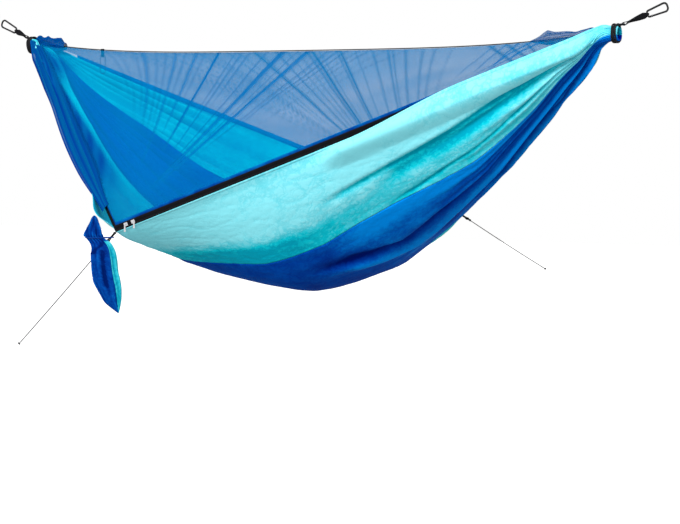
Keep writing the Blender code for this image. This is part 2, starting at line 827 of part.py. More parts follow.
def make_webbing(name, start, end, start_bar, end_bar, start_across, end_across, widths, thickness):
    """An endless webbing loop round a bar at each end, turned between them.

    The bars' radii include their clearance, and widths lists places along the loop
    in metres with the width there.
    """
    along = (end - start).normalized()
    length = (end - start).length
    first = (start_across - along * start_across.dot(along)).normalized()
    last = (end_across - along * end_across.dot(along)).normalized()
    turn = math.atan2(along.dot(first.cross(last)), first.dot(last))
    outline = loop_profile(length, start_bar + thickness / 2, end_bar + thickness / 2,
                           thickness / 2 + FREE)
    places = [place for place, _ in widths]
    sizes = [size for _, size in widths]
    points = []
    for place, off in outline + outline[:1]:
        share = smoothstep(place / length)
        across = Matrix.Rotation(turn * share, 3, along) @ first
        off_way = along.cross(across)
        width = float(np.interp(place, places, sizes))
        centre = start + along * place + off_way * off
        points.append([centre + across * width * (side / 2) for side in (-1, 0, 1)])
    return grid_solid(name, points, thickness, "black webbing", SPAN, wrap=True)


def make_end_band(name, side):
    """Cord round a gathered end, with the bight that the sling goes round."""
    radius = band_radius()
    bight = bight_point(side)
    plane = side * (HALF_SPAN - BAND_SETBACK)
    reach = bight.x - plane
    count = 32
    points = []
    for step in range(count):
        turn = 2 * math.pi * step / count
        angle = turn - BAND_CROWDING * math.sin(turn)
        from_top = min(angle, 2 * math.pi - angle)
        bump = math.exp(-(from_top / BIGHT_SPREAD) ** 4)
        points.append((plane + reach * bump, radius * math.sin(angle),
                       radius * math.cos(angle) - NECK_DROP))
    return cord(name, points, BAND_CORD, "black cord", SPAN, closed=True)


def make_sling(name, side):
    """Webbing sling from the end cord's bight to the carabiner, turned a quarter."""
    start = bight_point(side)
    end = narrow_bar_point(side)
    length = (end - start).length
    direction = sling_direction(side)
    in_plane = Vector((0, 1, 0)).cross(direction)
    widths = [(0, SLING_NECK), (length * SLING_SPREAD_AT, SLING_SPREAD),
              (length - 2 * SLING_SHOULDER, SLING_WIDTH),
              (length - SLING_SHOULDER, SLING_SHOULDER_WIDTH), (length, SLING_EYE_WIDTH)]
    return make_webbing(name, start, end, BAND_CORD / 2 + LOOSE, HOOK_BAR / 2 + FREE,
                        Vector((0, 1, 0)), in_plane, widths, WEBBING)


# Carabiner, in its own frame: X from the narrow bar to the crown, Y across, Z out of its plane

HOOK_RUN = HOOK_LENGTH - HOOK_BAR
NARROW_HALF = (HOOK_NARROW - HOOK_BAR) / 2
WIDE_HALF = (HOOK_WIDE - HOOK_BAR) / 2


def gate_way():
    """Unit vector along the gate's side of the carabiner."""
    return Vector((HOOK_RUN, NARROW_HALF - WIDE_HALF)).normalized()


def gate_side(distance):
    """Point on the gate's side, measured from the narrow corner."""
    way = gate_way()
    return Vector((way.x * distance, -NARROW_HALF + way.y * distance, 0))


def rounded_path(corners, radii, steps):
    """Open path through corners, each rounded to its radius."""
    path = [Vector(corners[0])]
    for index in range(1, len(corners) - 1):
        corner = Vector(corners[index])
        back = (Vector(corners[index - 1]) - corner).normalized()
        ahead = (Vector(corners[index + 1]) - corner).normalized()
        half = back.angle(ahead) / 2
        radius = radii[index - 1]
        centre = corner + (back + ahead).normalized() * radius / math.sin(half)
        start = corner + back * radius / math.tan(half)
        end = corner + ahead * radius / math.tan(half)
        first = start - centre
        last = end - centre
        for step in range(steps + 1):
            path.append(centre + first.slerp(last, step / steps) * radius)
    path.append(Vector(corners[-1]))
    return path


def make_hook_body(name, carrier):
    """Bent bar with a flat tongue for the gate's pin and a flat nose for its slot."""
    nose_start = GATE_END + NOSE_FREE
    nose = gate_side(nose_start)
    tongue_end = gate_side(PIN_AT + TONGUE_REACH)
    corners = [nose, Vector((HOOK_RUN, -WIDE_HALF, 0)), Vector((HOOK_RUN, WIDE_HALF, 0)),
               Vector((0, NARROW_HALF, 0)), Vector((0, -NARROW_HALF, 0)), tongue_end]
    radii = [WIDE_CORNER, WIDE_CORNER, NARROW_CORNER, NARROW_CORNER]
    path = rounded_path(corners, radii, 6)
    body = as_mesh(cord(name, path, HOOK_BAR, None, carrier, sides=3), "black steel")
    side_frame = frame_matrix(gate_side(0), (*gate_way(), 0), (0, 0, 1))
    shoulder = PIN_AT - GATE_RADIUS - 2 * FREE
    for layer in (-1, 1):
        centre = (shoulder + FLAT_LENGTH / 2, 0, layer * (TONGUE + HOOK_BAR) / 2)
        cutter = block(f"{name}_tongue_cut", (FLAT_LENGTH, 2 * HOOK_BAR, HOOK_BAR), centre, None,
                       carrier, side_frame)
        combine(body, cutter, 'DIFFERENCE')
    hole = rod(f"{name}_pin_hole", PIN_RADIUS + FREE, 2 * HOOK_BAR,
               Matrix.Translation((PIN_AT, 0, -HOOK_BAR)), 12, None, carrier, side_frame)
    combine(body, hole, 'DIFFERENCE')
    blade = block(f"{name}_nose", (2 * NOSE_LENGTH, 2 * NOSE, NOSE), (nose_start, 0, 0), None, carrier,
                  side_frame)
    combine(body, blade, 'UNION')
    return body


def make_gate(name, carrier):
    """Round gate with a fork over the tongue, a bore for its spring and a slot for the nose."""
    shaft_length = GATE_END - PIN_AT
    turned = Matrix.Rotation(math.radians(90), 4, 'Y')
    gate = rod(name, GATE_RADIUS, shaft_length, turned, 16, "black steel", carrier)
    knuckle = rod(f"{name}_knuckle", GATE_RADIUS, KNUCKLE_HEIGHT,
                  Matrix.Translation((0, 0, -KNUCKLE_HEIGHT / 2)), 16, None, carrier)
    combine(gate, knuckle, 'UNION')
    reach = 2 * HOOK_BAR
    fork = block(f"{name}_fork", (FORK_FLOOR + reach, reach, TONGUE + 2 * FREE),
                 ((FORK_FLOOR - reach) / 2, 0, 0), None, carrier)
    combine(gate, fork, 'DIFFERENCE')
    bore = rod(f"{name}_bore", SPRING_RADIUS + SPRING_WIRE + FREE, SPRING_BORE, turned, 12, None, carrier)
    combine(gate, bore, 'DIFFERENCE')
    slot_depth = NOSE_LENGTH + NOSE_ROOM
    slot = block(f"{name}_slot", (2 * slot_depth, reach, NOSE + 2 * FREE), (shaft_length, 0, 0), None,
                 carrier)
    combine(gate, slot, 'DIFFERENCE')
    pin_hole = rod(f"{name}_pin_hole", PIN_RADIUS + FREE, 2 * HOOK_BAR,
                   Matrix.Translation((0, 0, -HOOK_BAR)), 12, None, carrier)
    combine(gate, pin_hole, 'DIFFERENCE')
    return gate


def make_gate_spring(name, carrier):
    """Coil in the gate's bore that pushes on the tongue."""
    per_turn = 8
    length = SPRING_END - SPRING_START
    points = []
    for step in range(SPRING_TURNS * per_turn + 1):
        angle = 2 * math.pi * step / per_turn
        along = SPRING_START + length * step / (SPRING_TURNS * per_turn)
        points.append((along, SPRING_RADIUS * math.cos(angle), SPRING_RADIUS * math.sin(angle)))
    pitch = length / SPRING_TURNS
    print(f"{name} gap between turns {1000 * (pitch - 2 * SPRING_WIRE):.2f} mm")
    return cord(name, points, 2 * SPRING_WIRE, "bright steel", carrier, sides=0)


def make_carabiner(name, side):
    """Bar, gate, pin and spring at one end."""
    direction = sling_direction(side)
    placing = frame_matrix(narrow_bar_point(side), direction, (0, -side, 0))
    carrier = add_empty(name + "_frame", placing, SPAN)
    make_hook_body(name, carrier)
    pin_point = gate_side(PIN_AT)
    gate_frame = frame_matrix(pin_point, (*gate_way(), 0), (0, 0, 1))
    gate_carrier = add_empty(name + "_gate_axis", gate_frame, carrier)
    make_gate(name + "_gate", gate_carrier)
    make_gate_spring(name + "_spring", gate_carrier)
    pin_length = 2 * (GATE_RADIUS - PIN_SUNK)
    rod(name + "_pin", PIN_RADIUS, pin_length, Matrix.Translation((0, 0, -pin_length / 2)), 12,
        "bright steel", gate_carrier)


# Corner loops and guy lines

def guy_way(side):
    """Way that the guy line pulls a corner: side -1 near, 1 far."""
    if side < 0:
        return (Vector(NEAR_GUY_END) - near_corner()).normalized()
    return (Vector(FAR_GUY_END) - far_corner()).normalized()


def make_corner(name, side):
    """Webbing loop at a corner, with the guy line's eye, cord and end knot."""
    corner = near_corner() if side < 0 else far_corner()
    way = guy_way(side)
    across = UP.cross(way).normalized()
    fold = CLOTH / 2
    start = corner + way * (fold + WEBBING + CLOTH / 2 + GAP)
    end = corner + way * CORNER_LOOP
    make_webbing(name + "_corner_loop", start, end, fold, GUY_CORD / 2 + LOOSE, across, across,
                 [(0, CORNER_FOOT), (CORNER_TAPER, CORNER_WEB)], WEBBING)
    ring_centre = end + way * (EYE_RING - GUY_CORD / 2 - LOOSE - GUY_CORD / 2 + FREE)
    count = 14
    ring = []
    for step in range(count):
        angle = 2 * math.pi * step / count
        ring.append(ring_centre + way * EYE_RING * math.cos(angle)
                    + across * EYE_HALF_WIDTH * math.sin(angle))
    eye = as_mesh(cord(name + "_guy_knot", ring, GUY_CORD, None, SPAN, closed=True), "black cord")
    knot_centre = ring_centre + way * (EYE_RING + KNOT_SEAT)
    bead = ball(name + "_guy_knot_bead", KNOT, knot_centre, None)
    combine(eye, bead, 'UNION')
    finish = Vector(NEAR_GUY_END if side < 0 else FAR_GUY_END)
    cord_start = knot_centre + way * (KNOT + FREE)
    cord_end = finish - way * (KNOT + FREE)
    cord(name + "_guyline", even_points(cord_start, cord_end, 12), GUY_CORD, "grey cord", SPAN)
    ball(name + "_guy_end_knot", KNOT, finish, "grey cord")


def even_points(start, end, count):
    """Even points on a straight run."""
    return [start.lerp(end, index / (count - 1)) for index in range(count)]


def ball(name, radius, centre, paint):
    """A small round knot."""
    grid = bmesh.new()
    bmesh.ops.create_uvsphere(grid, u_segments=12, v_segments=8, radius=radius,
                              matrix=Matrix.Translation(centre))
    return bmesh_object(name, grid, paint, SPAN, smooth=True)


# Stuff sack

# Height, half width, half depth, shift across and shift back, all from the corner loop's end
SACK_SECTIONS = [(0.068, 0.002, 0.002, -0.038, -0.020), (0.050, 0.009, 0.006, -0.039, -0.020),
                 (0.030, 0.017, 0.009, -0.040, -0.020), (0.018, 0.019, 0.009, -0.041, -0.020),
                 (0.009, 0.018, 0.008, -0.037, -0.020), (-0.004, 0.028, 0.012, -0.018, -0.023),
                 (-0.022, 0.030, 0.015, -0.012, -0.028), (-0.046, 0.033, 0.016, -0.009, -0.030),
                 (-0.082, 0.034, 0.017, -0.005, -0.028), (-0.106, 0.035, 0.017, -0.001, -0.028),
                 (-0.125, 0.033, 0.016, 0.004, -0.028), (-0.153, 0.026, 0.012, 0.011, -0.027),
                 (-0.172, 0.019, 0.008, 0.016, -0.026), (-0.197, 0.002, 0.002, 0.029, -0.025)]
SACK_NECK = 4


def sack_frame():
    """Place of the corner loop's end, the sack's level way across and its way back."""
    turn = math.radians(SACK_TURN)
    across = Vector((math.cos(turn), math.sin(turn), 0))
    return near_corner() + guy_way(-1) * CORNER_LOOP, across, UP.cross(across)


def make_sack():
    """A loosely filled sack with a ruffled mouth above its drawn neck."""
    hang, across, back = sack_frame()
    rings = len(SACK_SECTIONS) - 1
    grid = bmesh.new()
    bmesh.ops.create_uvsphere(grid, u_segments=16, v_segments=rings, radius=1.0)
    for vertex in grid.verts:
        ring = round(math.acos(max(-1.0, min(1.0, vertex.co.z))) / math.pi * rings)
        angle = math.atan2(vertex.co.y, vertex.co.x)
        height, half_width, half_depth, sideways, backward = SACK_SECTIONS[ring]
        crease = 1 + SACK_CREASE * math.cos(5 * angle + ring)
        reach = crease if 0 < ring < rings else 0.0
        place = hang + UP * height + across * sideways + back * backward
        place += across * half_width * reach * math.cos(angle)
        place += back * half_depth * reach * math.sin(angle)
        vertex.co = place
    return bmesh_object("stuff_sack", grid, "royal cloth", SPAN, smooth=True)


def make_drawcord():
    """One cord round the sack's neck and over the corner loop."""
    hang, across, back = sack_frame()
    height, half_width, half_depth, sideways, backward = SACK_SECTIONS[SACK_NECK]
    way = guy_way(-1)
    strap = way * (height / way.z)
    strap_place = Vector((strap.dot(across), strap.dot(back)))
    clear = SACK_CORD / 2 + LOOSE + FREE
    swell = 1 + SACK_CREASE
    outline = []
    for angle in np.linspace(0, 2 * math.pi, 36, endpoint=False):
        outline.append(Vector((sideways + (half_width * swell + clear) * math.cos(angle),
                               backward + (half_depth * swell + clear) * math.sin(angle))))
        outline.append(strap_place + Vector(((SACK_STRAP + SACK_SIDE_ROOM + clear) * math.cos(angle),
                                             (SACK_STRAP + SACK_SWING_ROOM + clear) * math.sin(angle)
                                             - SACK_SWING_ROOM)))
    hull = [outline[index] for index in geometry.convex_hull_2d(outline)]
    hull.append(hull[0])
    route = smooth_route([(*point, 0) for point in hull], 31)[:-1]
    level = hang + UP * height
    points = [level + across * point.x + back * point.y for point in route]
    return cord("sack_drawcord", points, SACK_CORD, "royal cloth", SPAN, closed=True)


def make_soft_parts():
    """Cloth, net, strips and the sack."""
    make_cloth()
    make_net("near_net", -1, NEAR_NET_LOW, (14, 6))
    make_net("far_net", 1, FAR_NET_LOW, (14, 6))
    make_hood("left_net_hood", -1)
    make_hood("right_net_hood", 1)
    make_sack()
    make_drawcord()


def make_hardware():
    """Zip, ridge line, end cords, slings, carabiners, loops and guy lines."""
    make_zip()
    make_ridge()
    make_ridge_loop()
    for name, side in (("left", -1), ("right", 1)):
        make_end_band(name + "_end_band", side)
        make_sling(name + "_sling", side)
        make_carabiner(name + "_carabiner", side)
    make_corner("near", -1)
    make_corner("far", 1)


make_soft_parts()
make_hardware()
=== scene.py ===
"""Double hammock with a zipped insect net, hung between two snap hooks.

Metres, +Z up, +X from the left hook to the right one, +Y away from the zipped side.
The cloth is laid out by two shares: w runs from -1 at the left gathered end to +1 at the
right one, and u runs across the cut cloth from 0 at the zipped edge to 1 at the far edge.
"""
import json
import math

import bmesh
import bpy
import numpy as np
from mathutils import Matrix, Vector, geometry


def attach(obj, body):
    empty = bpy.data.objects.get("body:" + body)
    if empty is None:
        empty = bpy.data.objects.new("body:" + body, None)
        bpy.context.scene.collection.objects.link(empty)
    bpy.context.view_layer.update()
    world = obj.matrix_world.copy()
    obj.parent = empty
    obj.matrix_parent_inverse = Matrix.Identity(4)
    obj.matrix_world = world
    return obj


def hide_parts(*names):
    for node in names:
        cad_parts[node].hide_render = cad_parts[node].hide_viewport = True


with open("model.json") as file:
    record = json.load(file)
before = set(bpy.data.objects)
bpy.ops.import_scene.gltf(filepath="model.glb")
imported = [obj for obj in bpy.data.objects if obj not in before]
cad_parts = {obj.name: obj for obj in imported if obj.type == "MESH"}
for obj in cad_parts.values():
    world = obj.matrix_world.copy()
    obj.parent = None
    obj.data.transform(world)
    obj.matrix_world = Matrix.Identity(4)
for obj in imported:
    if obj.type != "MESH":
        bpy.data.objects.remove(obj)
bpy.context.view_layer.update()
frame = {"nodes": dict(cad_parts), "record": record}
NODES = frame["nodes"]

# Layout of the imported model, measured from the middle of the span
MIDDLE = np.array((1.10844, 0.0, -0.06014))
UP = np.array((0.0, 0.0, 1.0))
CORNER_W = 0.202
CORNER_OUT = 0.69
CORNER_DROP = 0.557
BELLY_DROP = 0.767
BELLY_POWER = 1.43
BELLY_SHIFT = 0.052
SECTION_POWER = 2.1
SECTION_POINTS = 161
# Places along the span, and the share by which the cloth hangs less deep there
DRAWN_IN = ((-0.5, -0.32, -0.15, 0.0, 0.12, 0.30, 0.45, 0.60, 0.77, 0.87, 0.93, 0.97),
            (0.0, -0.038, -0.062, -0.014, 0.020, 0.112, 0.142, 0.16, 0.33, 0.42, 0.50, 0.50))
NECK_START = 0.88
NECK_RADIUS = 0.019
NECK_DROP = 0.012
NECK_WRAP = math.radians(150)
NECK_PUFF = 0.40
NECK_PUFF_PLACE = 0.955
NECK_PUFF_REACH = 0.021
STRIP_END = 0.87
NET_LEFT_END = 0.962
RIDGE_SAG = 0.044
RIDGE_POWER = 3.8
RIDGE_CORD = 0.003

# Loose lip of cloth in front of the zip near the right end
LIP_START = 0.27
LIP_OUT_FULL = 0.34
LIP_RISE_FULL = 0.62
LIP_RISE = 0.030
LIP_OUT = 0.016
LIP_FOLD_OUT = 0.019
LIP_FOLD_DROP = 0.017
LIP_SHARE = 0.03125

# Lip, flap and bow of the edge left of the near corner: how far they stand up or out
LEFT_LIP_START = -0.93
LEFT_LIP_END = -0.215
LEFT_LIP_RISE = 0.011
LEFT_LIP_OUT = 0.0042
LEFT_FLAP_OUT = 0.024
LEFT_FLAP_PLACE = -0.262
LEFT_FLAP_REACH = 0.050
LEFT_BOW = 0.026
LEFT_BOW_PLACE = -0.50
LEFT_BOW_REACH = 0.24

# Cut cloth, and the net above it
CUT_LENGTH = 2.7
CUT_WIDTH = 1.4
SIDE_SHARE = 0.25
PANEL_STATIONS = 441
CLOTH = 0.0009
SEAM_GAP = 0.0008
SEAM_RIBBON = 0.010
SEAM_RIBBON_THICKNESS = 0.0005
NET = 0.0007
NET_SAG = 0.012

# Heights of the strips that stand on the cloth's edges
TAPE_LOW = -0.0008
TAPE_HEIGHT = 0.0055
SEWN_UNDER = 0.0018
COIL_LOW = 0.0068
COIL_HEIGHT = 0.0021
UPPER_COIL_LOW = 0.0106
UPPER_TAPE_LOW = 0.01305
NEAR_BORDER_LOW = 0.0182
NEAR_BORDER_HEIGHT = 0.0085
NEAR_NET_LOW = 0.0258
FAR_BORDER_LOW = -0.0008
FAR_BORDER_HEIGHT = 0.018
FAR_NET_LOW = 0.0165
TOOTH_PITCH = 0.0015
TOOTH_WIDTH = 0.0019
CORE_THICKNESS = 0.0008
TAPE_THICKNESS = 0.0009
BORDER_THICKNESS = 0.0008
STRIP_STATIONS = 421

# Distance below which two points of a closed seam become one
SEAM_MERGE = 0.000002

# Camera, in the photograph's frame, and the lights
CAMERA_PLACE = (4.10844, -5.357, -0.30174)
CAMERA_TURN = 28.2
CAMERA_TILT = -4.05
LENS = 108.5
SENSOR = 36
FLOOR = -1.65
FLOOR_SIZE = 30
FLOOR_GREY = 0.35
FLOOR_GLOW = 0.85
WORLD_LIGHT = 0.83
SUN_LIGHT = 2.6
SUN_SOFTNESS = 18
SUN_TILT = 66
SUN_TURN = 10


def select_only(piece):
    """Deselect everything and make one piece the active one."""
    bpy.ops.object.select_all(action='DESELECT')
    piece.select_set(True)
    bpy.context.view_layer.objects.active = piece


def apply_modifiers(piece):
    """Apply a piece's modifiers in their order."""
    select_only(piece)
    for step in list(piece.modifiers):
        bpy.ops.object.modifier_apply(modifier=step.name)


def smooth(value):
    """Ease from 0 to 1."""
    value = np.clip(value, 0.0, 1.0)
    return value * value * (3 - 2 * value)


def bump(value, centre, width):
    """Bell of height 1."""
    return np.exp(-((value - centre) / width) ** 2)


def unit(vectors):
    """Vectors of length 1."""
    return vectors / np.maximum(np.linalg.norm(vectors, axis=-1, keepdims=True), 1e-12)


def full_turn(count):
    """Even angles round a circle."""
    return 2 * math.pi * np.arange(count) / count


def lengths_along(path):
    """Distance along a path at each of its points."""
    return np.concatenate([[0.0], np.cumsum(np.linalg.norm(np.diff(path, axis=0), axis=1))])


def points_at(marks, lengths, points):
    """Rows of numbers at chosen distances along a path."""
    return np.stack([np.interp(marks, lengths, points[:, axis]) for axis in range(points.shape[1])], 1)


# Surface of the hung cloth

def edge_points(w, side):
    """Points of the straight edge: side -1 zipped, 1 far."""
    corner = side * CORNER_W
    reach = np.where(w < corner, (w + 1) / (corner + 1), (1 - w) / (1 - corner))
    return np.stack([w, side * CORNER_OUT * reach, -CORNER_DROP * reach], axis=-1)


def ridge_points(w):
    """Points of the ridge line."""
    return np.stack([w, 0 * w, -RIDGE_SAG * (1 - np.abs(w) ** RIDGE_POWER)], axis=-1)


NEAR_CORNER = edge_points(np.array(-CORNER_W), -1)
FAR_CORNER = edge_points(np.array(CORNER_W), 1)
ZIP_OUTWARD = unit(np.cross(np.array((1.0, 0.0, 0.0)) - NEAR_CORNER, UP))
LEFT_OUTWARD = unit(np.cross(NEAR_CORNER - np.array((-1.0, 0.0, 0.0)), UP))


def neck_share(w):
    """How far the section has closed into the gathered neck."""
    return smooth((np.abs(w) - NECK_START) / (1 - NECK_START))


def section_curves(w):
    """Dense sections of the cloth at each station."""
    dense = np.linspace(0.0, 1.0, SECTION_POINTS)
    near = edge_points(w, -1)
    far = edge_points(w, 1)
    along = np.minimum(np.abs(w - BELLY_SHIFT * (1 - w * w)), 1.0)
    belly = np.stack([w, 0 * w, -BELLY_DROP * (1 - along ** BELLY_POWER)], axis=-1)
    middle = (near + far) / 2
    across = np.cos(np.pi * dense)[None, :, None]
    depth = np.maximum(1 - across ** 2, 0) ** (SECTION_POWER / 2)
    depth = depth * (1 - np.interp(w, *DRAWN_IN))[:, None, None]
    body = middle[:, None] + across * (near - far)[:, None] / 2 + depth * (belly - middle)[:, None]
    turn = (2 * dense - 1) * NECK_WRAP
    puff = NECK_PUFF * bump(np.abs(w), NECK_PUFF_PLACE, NECK_PUFF_REACH)
    radius = (NECK_RADIUS * (1 + puff))[:, None]
    neck = np.stack([w[:, None] * np.ones_like(turn), radius * np.sin(turn),
                     -NECK_DROP - radius * np.cos(turn)], axis=-1)
    share = neck_share(w)[:, None, None]
    return body * (1 - share) + neck * share


# Where the seams have crept off even shares: place along, reach along, and shift
NEAR_SEAM_SHIFTS = ((-0.40, 0.12, 0.13), (-0.76, 0.12, -0.16), (-0.05, 0.12, -0.012))
NEAR_SEAM_RIGHT = 0.152
FAR_SEAM_SHIFTS = ((-0.86, 0.17, -0.125), (-0.30, 0.15, 0.05), (0.38, 0.19, 0.11))


def seam_shift(w, shifts):
    """How far a seam has crept across the hung section."""
    return sum(size * bump(w, place, reach) for place, reach, size in shifts)


def near_seam(w):
    """Where the seam by the zipped edge lies on the hung section."""
    right = bump(w, 0.74, np.where(w < 0.74, 0.26, 0.115))
    return SIDE_SHARE + seam_shift(w, NEAR_SEAM_SHIFTS) + NEAR_SEAM_RIGHT * right


def far_seam(w):
    """Where the seam by the far edge lies on the hung section."""
    return 1 - SIDE_SHARE + seam_shift(w, FAR_SEAM_SHIFTS)


def smooth_cloth(w, u):
    """Cloth without its folds: a grid of points, stations by shares of the cut width."""
    seams = zip(section_curves(w), near_seam(w), far_seam(w))
    grid = np.empty((len(w), len(u), 3))
    for index, (curve, start, end) in enumerate(seams):
        lengths = lengths_along(curve)
        marks = np.interp(u, (0, SIDE_SHARE, 1 - SIDE_SHARE, 1), (0, start, end, 1)) * lengths[-1]
        grid[index] = points_at(marks, lengths, curve)
    return grid


def left_bow(w):
    """How far the edge left of the near corner bows out."""
    return LEFT_BOW * bump(w, LEFT_BOW_PLACE, LEFT_BOW_REACH)


def lip_cloth(w, u):
    """The cloth with its zipped edge: the loose lip near the right end, the flap and bow at the left."""
    grid = smooth_cloth(w, u)
    marks = np.array((0.0, LIP_SHARE))
    edge, fold = np.moveaxis(smooth_cloth(w, marks), 1, 0)
    loose = 1 - neck_share(w)
    out = (smooth((w - LIP_START) / (LIP_OUT_FULL - LIP_START)) * loose)[:, None]
    rise = (smooth((w - LIP_OUT_FULL) / (LIP_RISE_FULL - LIP_OUT_FULL)) * loose)[:, None]
    left = (smooth((w - LEFT_LIP_START) / 0.08) * smooth((LEFT_LIP_END - w) / 0.03))[:, None]
    flap = (LEFT_FLAP_OUT * bump(w, LEFT_FLAP_PLACE, LEFT_FLAP_REACH) + left_bow(w))[:, None]
    rim = edge + ZIP_OUTWARD * LIP_OUT * out + UP * LIP_RISE * rise
    rim = rim + (LEFT_OUTWARD * (LEFT_LIP_OUT + flap) + UP * LEFT_LIP_RISE) * left
    folded = edge + ZIP_OUTWARD * LIP_FOLD_OUT - UP * LIP_FOLD_DROP
    fold_shift = (folded - fold) * out + LEFT_OUTWARD * (0.6 * flap + 0.002) * left
    for row, share in enumerate(u):
        if share <= LIP_SHARE:
            part = share / LIP_SHARE
            grid[:, row] = rim * (1 - part) + (fold + fold_shift) * part
        elif share < 2 * LIP_SHARE:
            part = smooth((share - LIP_SHARE) / LIP_SHARE)
            grid[:, row] += fold_shift * (1 - part)
    return grid


def grid_normals(grid):
    """Unit normals of the cloth's grid, pointing out of the hammock."""
    return unit(np.cross(np.gradient(grid, axis=1), np.gradient(grid, axis=0)))


def wave_field(length, width, size, count, seed, stretch=1.0):
    """Smooth random field of unit spread: waves of about one size over the cut cloth."""
    draw = np.random.default_rng(seed)
    field = np.zeros(np.broadcast(length, width).shape)
    for _ in range(count):
        angle = draw.uniform(0, 2 * math.pi)
        pitch = size * draw.uniform(0.7, 1.4)
        phase = draw.uniform(0, 2 * math.pi)
        field += np.sin(2 * math.pi * (length * math.cos(angle) / stretch
                                       + width * math.sin(angle)) / pitch + phase)
    return field / math.sqrt(count / 2)


def crease(field):
    """Sharp small valleys where a field crosses zero."""
    return 1 - 2 * np.exp(-np.abs(field) * 2.2)


# Long folds of the zipped side: stations along the span and the fold's place across the cut
LIP_CREASE = ((0.20, 0.35, 0.485, 0.57, 0.70, 0.79, 0.865, 0.92, 0.97),
              (0.132, 0.116, 0.104, 0.090, 0.068, 0.066, 0.055, 0.13, 0.22))
DEEP_FOLD = ((0.36, 0.52, 0.60, 0.70, 0.78, 0.87), (0.165, 0.138, 0.132, 0.108, 0.098, 0.085))
LOW_CREASE = ((0.36, 0.456, 0.56, 0.65, 0.74, 0.84, 0.95),
              (0.248, 0.236, 0.208, 0.200, 0.182, 0.155, 0.16))
# Royal folds below: the valley and hollow also carry painted shade, the streak a painted highlight.
ROYAL_VALLEY = ((0.05, 0.19, 0.23, 0.34, 0.46, 0.56, 0.66, 0.78),
                (0.330, 0.345, 0.352, 0.418, 0.408, 0.42, 0.40, 0.44))
ROYAL_STREAK = ((0.10, 0.20, 0.26, 0.33, 0.46, 0.56, 0.64, 0.72, 0.80),
                (0.355, 0.372, 0.425, 0.478, 0.484, 0.49, 0.50, 0.49, 0.50))
ROYAL_HOLLOW = ((0.34, 0.44, 0.53, 0.59, 0.66, 0.74, 0.80, 0.87),
                (0.56, 0.55, 0.555, 0.59, 0.58, 0.59, 0.63, 0.60))

# Folds that fan out from the gathered ends: how many cross the cloth, and their depths in metres
BROAD_COUNT = 8
BROAD_DEPTH = 0.009
MIDDLE_COUNT = 19
MIDDLE_DEPTH = 0.0042
BEHIND_COUNT = 22
BEHIND_DEPTH = 0.0185
BEHIND_MORE = 0.0055
BEHIND_INWARD = 0.9
PLEAT_COUNT = 24
PLEAT_DEPTH = 0.0021
SWELL_DEPTH = 0.004
COARSE_CRINKLE = 0.0005
FINE_CRINKLE = 0.0004
RELIEF_UNIT = 0.016


def along_fold(w, u, line, width, start, end):
    """Bell across a long fold, faded at both of its ends."""
    fade = smooth((w - start) / 0.12) * smooth((end - w) / 0.10)
    return bump(u, np.interp(w, *line), width) * fade


def fanned_folds(w, u, length, width):
    """Folds from the gathered ends, deepest on the side away from the zip."""
    away = np.abs(w)
    front = smooth((w - 0.15) / 0.2) * smooth((0.66 - u) / 0.12)
    fan = smooth((away - 0.12) / 0.6)
    drift = 0.012 * wave_field(length, width, 1.3, 6, 11)
    turn = 2 * math.pi
    broad = np.sin(turn * (BROAD_COUNT * (u + drift * (1 - neck_share(w)))))
    middle = np.sin(turn * (MIDDLE_COUNT * (u + 0.6 * drift)) + 1.3)
    warped = u + 0.5 * drift + 0.010 * np.sin(turn * 2.3 * u + 0.7)
    gather = np.sin(turn * BEHIND_COUNT * warped + 0.8 * wave_field(length, width, 0.9, 5, 12))
    uneven = 1 + 0.35 * wave_field(length, width, 0.35, 6, 16, 4.0)
    folds = fan * broad * BROAD_DEPTH + fan * middle * (0.6 + 0.4 * broad) * MIDDLE_DEPTH
    behind = BEHIND_DEPTH + BEHIND_MORE * smooth((w - 0.3) / 0.2)
    inward = BEHIND_INWARD * smooth(np.minimum(u, 1 - u) / 0.14)
    behind = behind * smooth((away - 0.36) / 0.38) * (gather * uneven - inward)
    return folds * (1 - 0.8 * front) + behind * (1 - 0.88 * front)


def crinkles(length, width, away):
    """Small sharp crinkles of thin cloth, weaker where it is drawn tight."""
    rough = 1 - 0.55 * smooth((away - 0.45) / 0.4)
    coarse = COARSE_CRINKLE * crease(wave_field(length, width, 0.10, 14, 14, 1.8))
    return (coarse + FINE_CRINKLE * crease(wave_field(length, width, 0.036, 14, 15, 1.5))) * rough


